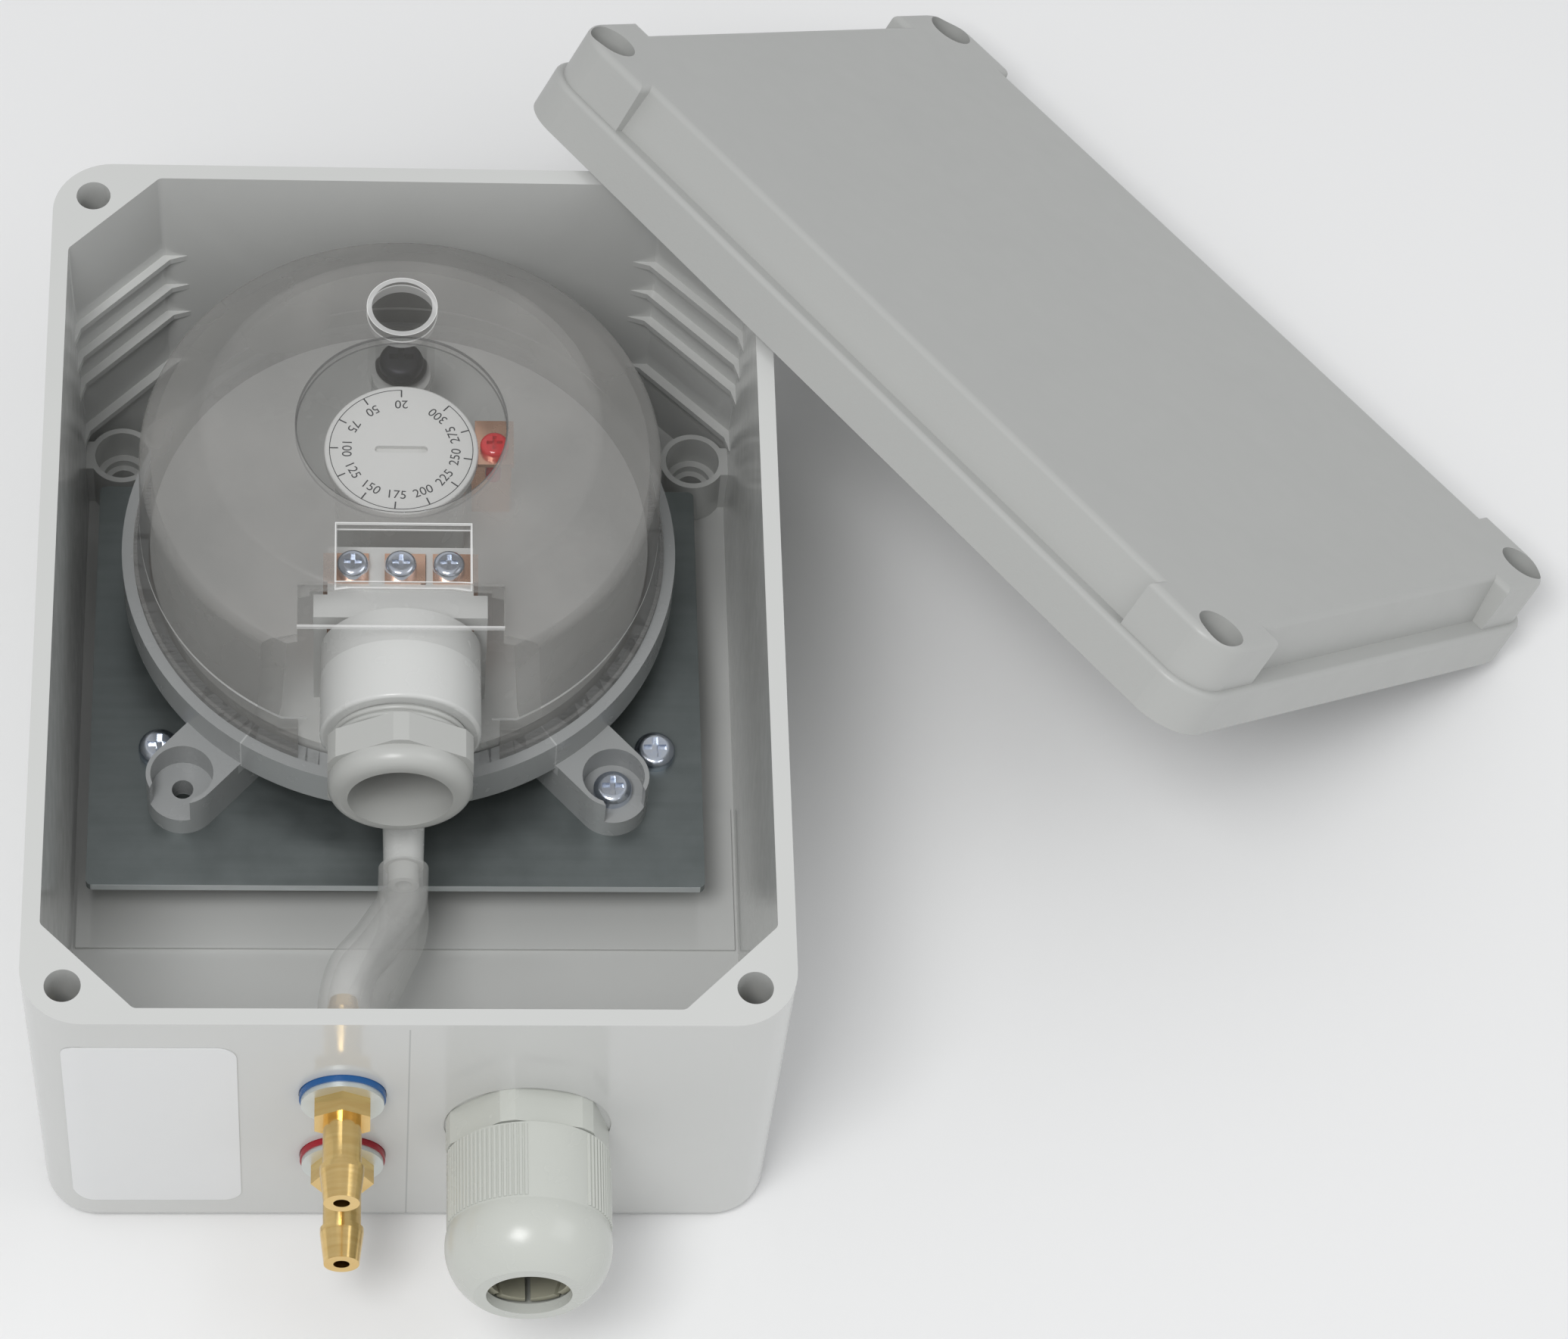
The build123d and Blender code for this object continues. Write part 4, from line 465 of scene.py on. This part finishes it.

# Cover: one clear moulding, held by the screw in its well, with a fine matt skin on its shoulder
# and skirt. The round window, the small pane, the well and the flat front with its step are clear.
# Bright lines along the edges of the pane, the step, the skirt and the well are painted highlights,
# and a dark line on the window's edge is painted shade.
top_z, window_radius = 0.060, 0.0159
pane_x, pane_y, pane_half_x, pane_half_y = -0.00115, 0.0045, 0.01005, 0.0051
front_y, front_low_z, front_depth = -0.0083, 0.034, 0.0021
step_half_x, step_back_y, step_edge_z, step_edge_depth = 0.0153, -0.001, 0.0623, 0.0004
well_y, well_outer, well_inner, well_edge_half = 0.0491, 0.0053, 0.0050, 0.0004
skirt_z, skirt_inner, skirt_edge_half = 0.0370, 0.0385, 0.0003
pane_line = 0.00014
clear_alpha, frost_alpha, cloud_alpha, painted_line_alpha = 0.06, 0.26, 0.20, 0.5
clear_satin, frost_satin, grain_satin = 0.05, 0.24, 0.1
frost_dark, frost_light = (0.28, 0.28, 0.27), (0.46, 0.45, 0.43)
# Colours and shares of the painted shade line on the window's edge and of the painted highlights on the
# bright edges.
shade_line_grey, shade_line_share = (0.08, 0.08, 0.08), 0.8
highlight_white, highlight_share = (0.86, 0.86, 0.85), 0.9
cover_finish = Finish("clear_and_frosted", (0.3, 0.3, 0.3), roughness=0.3)
cover_x, cover_y, cover_z = cover_finish.axes()
cover_across, cover_along = cover_x - switch_x, cover_y - switch_y
from_axis = (cover_across * cover_across + cover_along * cover_along) ** 0.5
well_along = cover_y - well_y
from_well = (cover_across * cover_across + well_along * well_along) ** 0.5
on_top = cover_z > top_z
from_pane_x, from_pane_y = abs(cover_x - pane_x), abs(cover_y - pane_y)


def in_pane(margin):
    """1 on the small pane, grown by a margin on every side."""
    return (from_pane_x < pane_half_x + margin) * (from_pane_y < pane_half_y + margin) * on_top


in_window = (from_axis < window_radius) * on_top
in_well = from_well < well_outer
in_front = (cover_y < front_y + front_depth) * (cover_z > front_low_z)
in_step = (abs(cover_across) < step_half_x) * (cover_y < step_back_y)
frost = 1 - ((in_window + in_pane(0.0) + in_well + in_front + in_step) > 0.5)
# Painted shade: a dark line on the window's edge, standing in for the shade on the wall of its recess.
window_shade_line = (abs(from_axis - window_radius) < pane_line) * on_top
# Painted highlights: white lines along the edges of the pane, the step, the skirt and the well.
pane_edge = in_pane(pane_line) - in_pane(-pane_line)
step_edge = (cover_y < front_y + step_edge_depth) * (cover_z > step_edge_z)
step_edge = step_edge * (abs(cover_across) < step_half_x)
skirt_edge = (abs(cover_z - skirt_z) < skirt_edge_half) * (from_axis > skirt_inner)
well_edge = (abs(from_well - well_inner) < well_edge_half) * on_top
painted_highlights = (pane_edge + step_edge + skirt_edge + well_edge) > 0.5
frost_grain = cover_finish.noise(1500.0, detail=3.0)
frost_cloud = cover_finish.noise(55.0)
cover_colour = cover_finish.mix(frost_cloud, frost_dark, frost_light)
# The painted shade line and the painted highlights go into the colour, and make the cover more opaque
# there.
cover_colour = cover_finish.mix(window_shade_line * shade_line_share, cover_colour, shade_line_grey)
cover_colour = cover_finish.mix(painted_highlights * highlight_share, cover_colour, highlight_white)
cover_finish.set("Base Color", cover_colour)
frost_veil = clear_alpha + frost * (frost_alpha + cloud_alpha * frost_cloud)
cover_finish.set("Alpha", frost_veil + painted_line_alpha * (window_shade_line + painted_highlights))
cover_finish.set("Roughness", clear_satin + frost * (frost_satin + grain_satin * frost_grain))
cover_finish.bump(frost_grain * frost, strength=0.15, height=0.00005)
cover_finish.on("cover")

# Dial: white moulded disc on the spindle, its scale printed in dark grey.
# The print is a thin layer just above its face and turns with it.
dial_white, dial_shade = (0.66, 0.66, 0.645), (0.63, 0.63, 0.615)
dial_finish = moulded("dial_white", dial_white, dial_shade, roughness=0.3, grain=0.1)
dial_finish.on("setting_dial")
ink_finish = Finish("dial_ink", (0.035, 0.035, 0.04), roughness=0.5)
ink_finish.vary("Roughness", low=0.4, spread=0.2, pattern=ink_finish.noise(900.0))
dial_face, ink_height = 0.0565, 0.00002
print_z = dial_face + ink_height
scale_radius, scale_line, tick_length, tick_width = 0.01085, 0.00012, 0.0013, 0.00022
first_step, scale_step, scale_marks = 32.0, 28.6, 12

# Ticks: one short line printed at each value, inwards from the scale's line.
# The first step is a little wider than the others.
ticks = Pattern(
    "dial_ticks",
    marks=scale_marks,
    step=radians(scale_step),
    first=radians(first_step - scale_step),
    radius=scale_radius - tick_length / 2,
    length=tick_length,
    width=tick_width,
)
mark_line = ticks.node("GeometryNodeMeshLine", {}, {"Count": ticks.size["marks"]})
mark = ticks.node("GeometryNodeInputIndex", {}, {})
mark_bearing = mark * ticks.size["step"] + (mark > 0.5) * ticks.size["first"]
mark_x = 0 - mark_bearing.sine() * ticks.size["radius"]
mark_y = mark_bearing.cosine() * ticks.size["radius"]
mark_spot = ticks.node("ShaderNodeCombineXYZ", {}, {0: mark_x, 1: mark_y})
spread = ticks.node("GeometryNodeSetPosition", {}, {"Geometry": mark_line, "Position": mark_spot})
tick_shape = ticks.node(
    "GeometryNodeMeshGrid",
    {},
    {"Size X": ticks.size["width"], "Size Y": ticks.size["length"], "Vertices X": 2, "Vertices Y": 2},
)
tick_turn = ticks.node("ShaderNodeCombineXYZ", {}, {2: mark_bearing})
placed = ticks.node(
    "GeometryNodeInstanceOnPoints", {}, {"Points": spread, "Instance": tick_shape, "Rotation": tick_turn}
)
lifted = {"Geometry": placed, "Translation": (switch_x, switch_y, print_z)}
ticks.made(ticks.node("GeometryNodeTransform", {}, lifted), ink_finish, "dial", "dial_plastic")

# Figures and the scale's line, printed with the ticks: the figures stand on the side of the rim,
# their tops towards the middle. The line runs from the first tick to the last.
figures = ["20", "50", "75", "100", "125", "150", "175", "200", "225", "250", "275", "300"]
figure_height, figure_radius, line_steps = 0.0021, 0.0083, 90
line_end = radians(first_step + scale_step * (scale_marks - 2))
print_mesh = bmesh.new()
for number, figure in enumerate(figures):
    bearing = radians(number * scale_step + (first_step - scale_step if number else 0.0))
    curve = bpy.data.curves.new("figure", "FONT")
    curve.body = figure
    curve.size = figure_height
    curve.align_x, curve.align_y = "CENTER", "CENTER"
    writer = bpy.data.objects.new("figure", curve)
    bpy.context.scene.collection.objects.link(writer)
    seen = writer.evaluated_get(bpy.context.evaluated_depsgraph_get())
    flat = bpy.data.meshes.new_from_object(seen)
    along = Matrix.Rotation(bearing, 4, "Z") @ Vector((0.0, figure_radius, print_z))
    spot = Matrix.Translation(along + Vector((switch_x, switch_y, 0.0)))
    flat.transform(spot @ Matrix.Rotation(bearing + pi, 4, "Z"))
    print_mesh.from_mesh(flat)
    bpy.data.objects.remove(writer)
    bpy.data.meshes.remove(flat)
line_inner, line_outer = scale_radius - scale_line / 2, scale_radius + scale_line / 2
line_pairs = []
for step in range(line_steps + 1):
    bearing = line_end * step / line_steps
    pair = []
    for radius in (line_inner, line_outer):
        spot = (switch_x - radius * sin(bearing), switch_y + radius * cos(bearing), print_z)
        pair.append(print_mesh.verts.new(spot))
    line_pairs.append(pair)
for (inner, outer), (next_inner, next_outer) in zip(line_pairs, line_pairs[1:]):
    print_mesh.faces.new((inner, outer, next_outer, next_inner))
bmesh.ops.recalc_face_normals(print_mesh, faces=print_mesh.faces)
for face in print_mesh.faces:
    if face.normal.z < 0:
        face.normal_flip()
dial_print_mesh = bpy.data.meshes.new("dial_print")
print_mesh.to_mesh(dial_print_mesh)
print_mesh.free()
dial_print_mesh.materials.append(ink_finish.material)
dial_print = bpy.data.objects.new("dial_print", dial_print_mesh)
bpy.context.scene.collection.objects.link(dial_print)
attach(dial_print, "dial")

# Rings and washers of the hose barbs: a blue and a red moulded ring mark the two ports.
# A stamped, zinc-plated washer lies on each, and the barb's shoulder clamps both to the wall.
ring_blue, ring_blue_shade = (0.012, 0.10, 0.30), (0.01, 0.08, 0.25)
blue_finish = moulded("blue_ring_plastic", ring_blue, ring_blue_shade, roughness=0.25, grain=0.1)
blue_finish.on("blue_ring")
ring_red, ring_red_shade = (0.36, 0.008, 0.02), (0.30, 0.006, 0.016)
red_finish = moulded("red_ring_plastic", ring_red, ring_red_shade, roughness=0.25, grain=0.1)
red_finish.on("red_ring")
washer_finish = Finish("dull_zinc", (0.66, 0.70, 0.69), roughness=0.35, metallic=0.75)
washer_finish.vary("Roughness", low=0.3, spread=0.2, pattern=washer_finish.noise(800.0))
washer_finish.on("upper_washer", "lower_washer")

# Tubes: extruded clear silicone, pushed over the switch's nipples and the inner barbs.
# They are a little milky, as silicone is.
tube_finish = Finish("clear_silicone", (0.72, 0.72, 0.70), roughness=0.12)
milkiness = tube_finish.noise(180.0)
tube_finish.vary("Alpha", low=0.24, spread=0.14, pattern=milkiness)
tube_finish.vary("Roughness", low=0.08, spread=0.12, pattern=milkiness)
tube_finish.on("upper_tube", "lower_tube")

# Cable gland: warm white nylon body, cap and lock nut, moulded and screwed through the front wall.
# The fingers of the claw inside the cap are a little yellower.
gland_white, gland_shade = (0.57, 0.585, 0.545), (0.53, 0.545, 0.51)
gland_finish = moulded("gland_nylon", gland_white, gland_shade, roughness=0.2, grain=0.1)
gland_finish.on("gland_body", "gland_cap", "gland_nut")
claw_yellow, claw_shade = (0.50, 0.49, 0.38), (0.44, 0.43, 0.34)
claw_finish = moulded("claw_nylon", claw_yellow, claw_shade, roughness=0.35, grain=0.1)
claw_finish.on("gland_claw")

# Ribs of the gland cap: three fields of fine ribs for the hand, moulded with the cap.
# Smooth lands lie between the fields.
ribs_middle, ribs_turn, rib_sides = (0.0174, -0.08580, 0.032), pi / 2, 8
ribs = Pattern(
    "gland_cap_ribs",
    ribs=60,
    field=20,
    pitch=radians(3.75),
    turn=radians(120.0),
    start=radians(93.0),
    radius=0.01185,
    length=0.0114,
    width=0.00027,
)
rib_line = ribs.node("GeometryNodeMeshLine", {}, {"Count": ribs.size["ribs"]})
rib = ribs.node("GeometryNodeInputIndex", {}, {})
rib_field = (rib / ribs.size["field"]).floor()
rib_place = rib - rib_field * ribs.size["field"]
rib_bearing = ribs.size["start"] + rib_field * ribs.size["turn"] + rib_place * ribs.size["pitch"]
rib_x = rib_bearing.cosine() * ribs.size["radius"]
rib_z = rib_bearing.sine() * ribs.size["radius"]
rib_spot = ribs.node("ShaderNodeCombineXYZ", {}, {0: rib_x, 2: rib_z})
rib_ring = ribs.node("GeometryNodeSetPosition", {}, {"Geometry": rib_line, "Position": rib_spot})
rib_bar = ribs.node(
    "GeometryNodeMeshCylinder",
    {},
    {"Vertices": rib_sides, "Radius": ribs.size["width"], "Depth": ribs.size["length"]},
)
rib_row = ribs.node(
    "GeometryNodeInstanceOnPoints",
    {},
    {"Points": rib_ring, "Instance": rib_bar, "Rotation": (ribs_turn, 0.0, 0.0)},
)
rib_home = {"Geometry": rib_row, "Translation": ribs_middle}
ribs.made(ribs.node("GeometryNodeTransform", {}, rib_home), gland_finish, "base", "gland_plastic")

# Label: blank white sticker with round corners, stuck on the left of the front wall.
# Its left edge follows the wall a little way round the corner.
label_white, label_shade = (0.76, 0.765, 0.765), (0.73, 0.74, 0.745)
label_finish = moulded("label_paper", label_white, label_shade, roughness=0.3, grain=0.1)
label_finish.on("label")

# Floor: plain pale sheet under the box and the lid, wide enough to fill the picture.
# It belongs to the studio and not to the part.
floor_reach = 3.0
floor_corners = [(-1, -1), (1, -1), (1, 1), (-1, 1)]
floor_mesh = bpy.data.meshes.new("floor")
floor_mesh.from_pydata(
    [(x * floor_reach, y * floor_reach, 0.0) for x, y in floor_corners], [], [(0, 1, 2, 3)]
)
floor_finish = Finish("pale_floor", (0.86, 0.86, 0.86), roughness=0.8)
floor_mesh.materials.append(floor_finish.material)
floor = bpy.data.objects.new("floor", floor_mesh)
bpy.context.scene.collection.objects.link(floor)
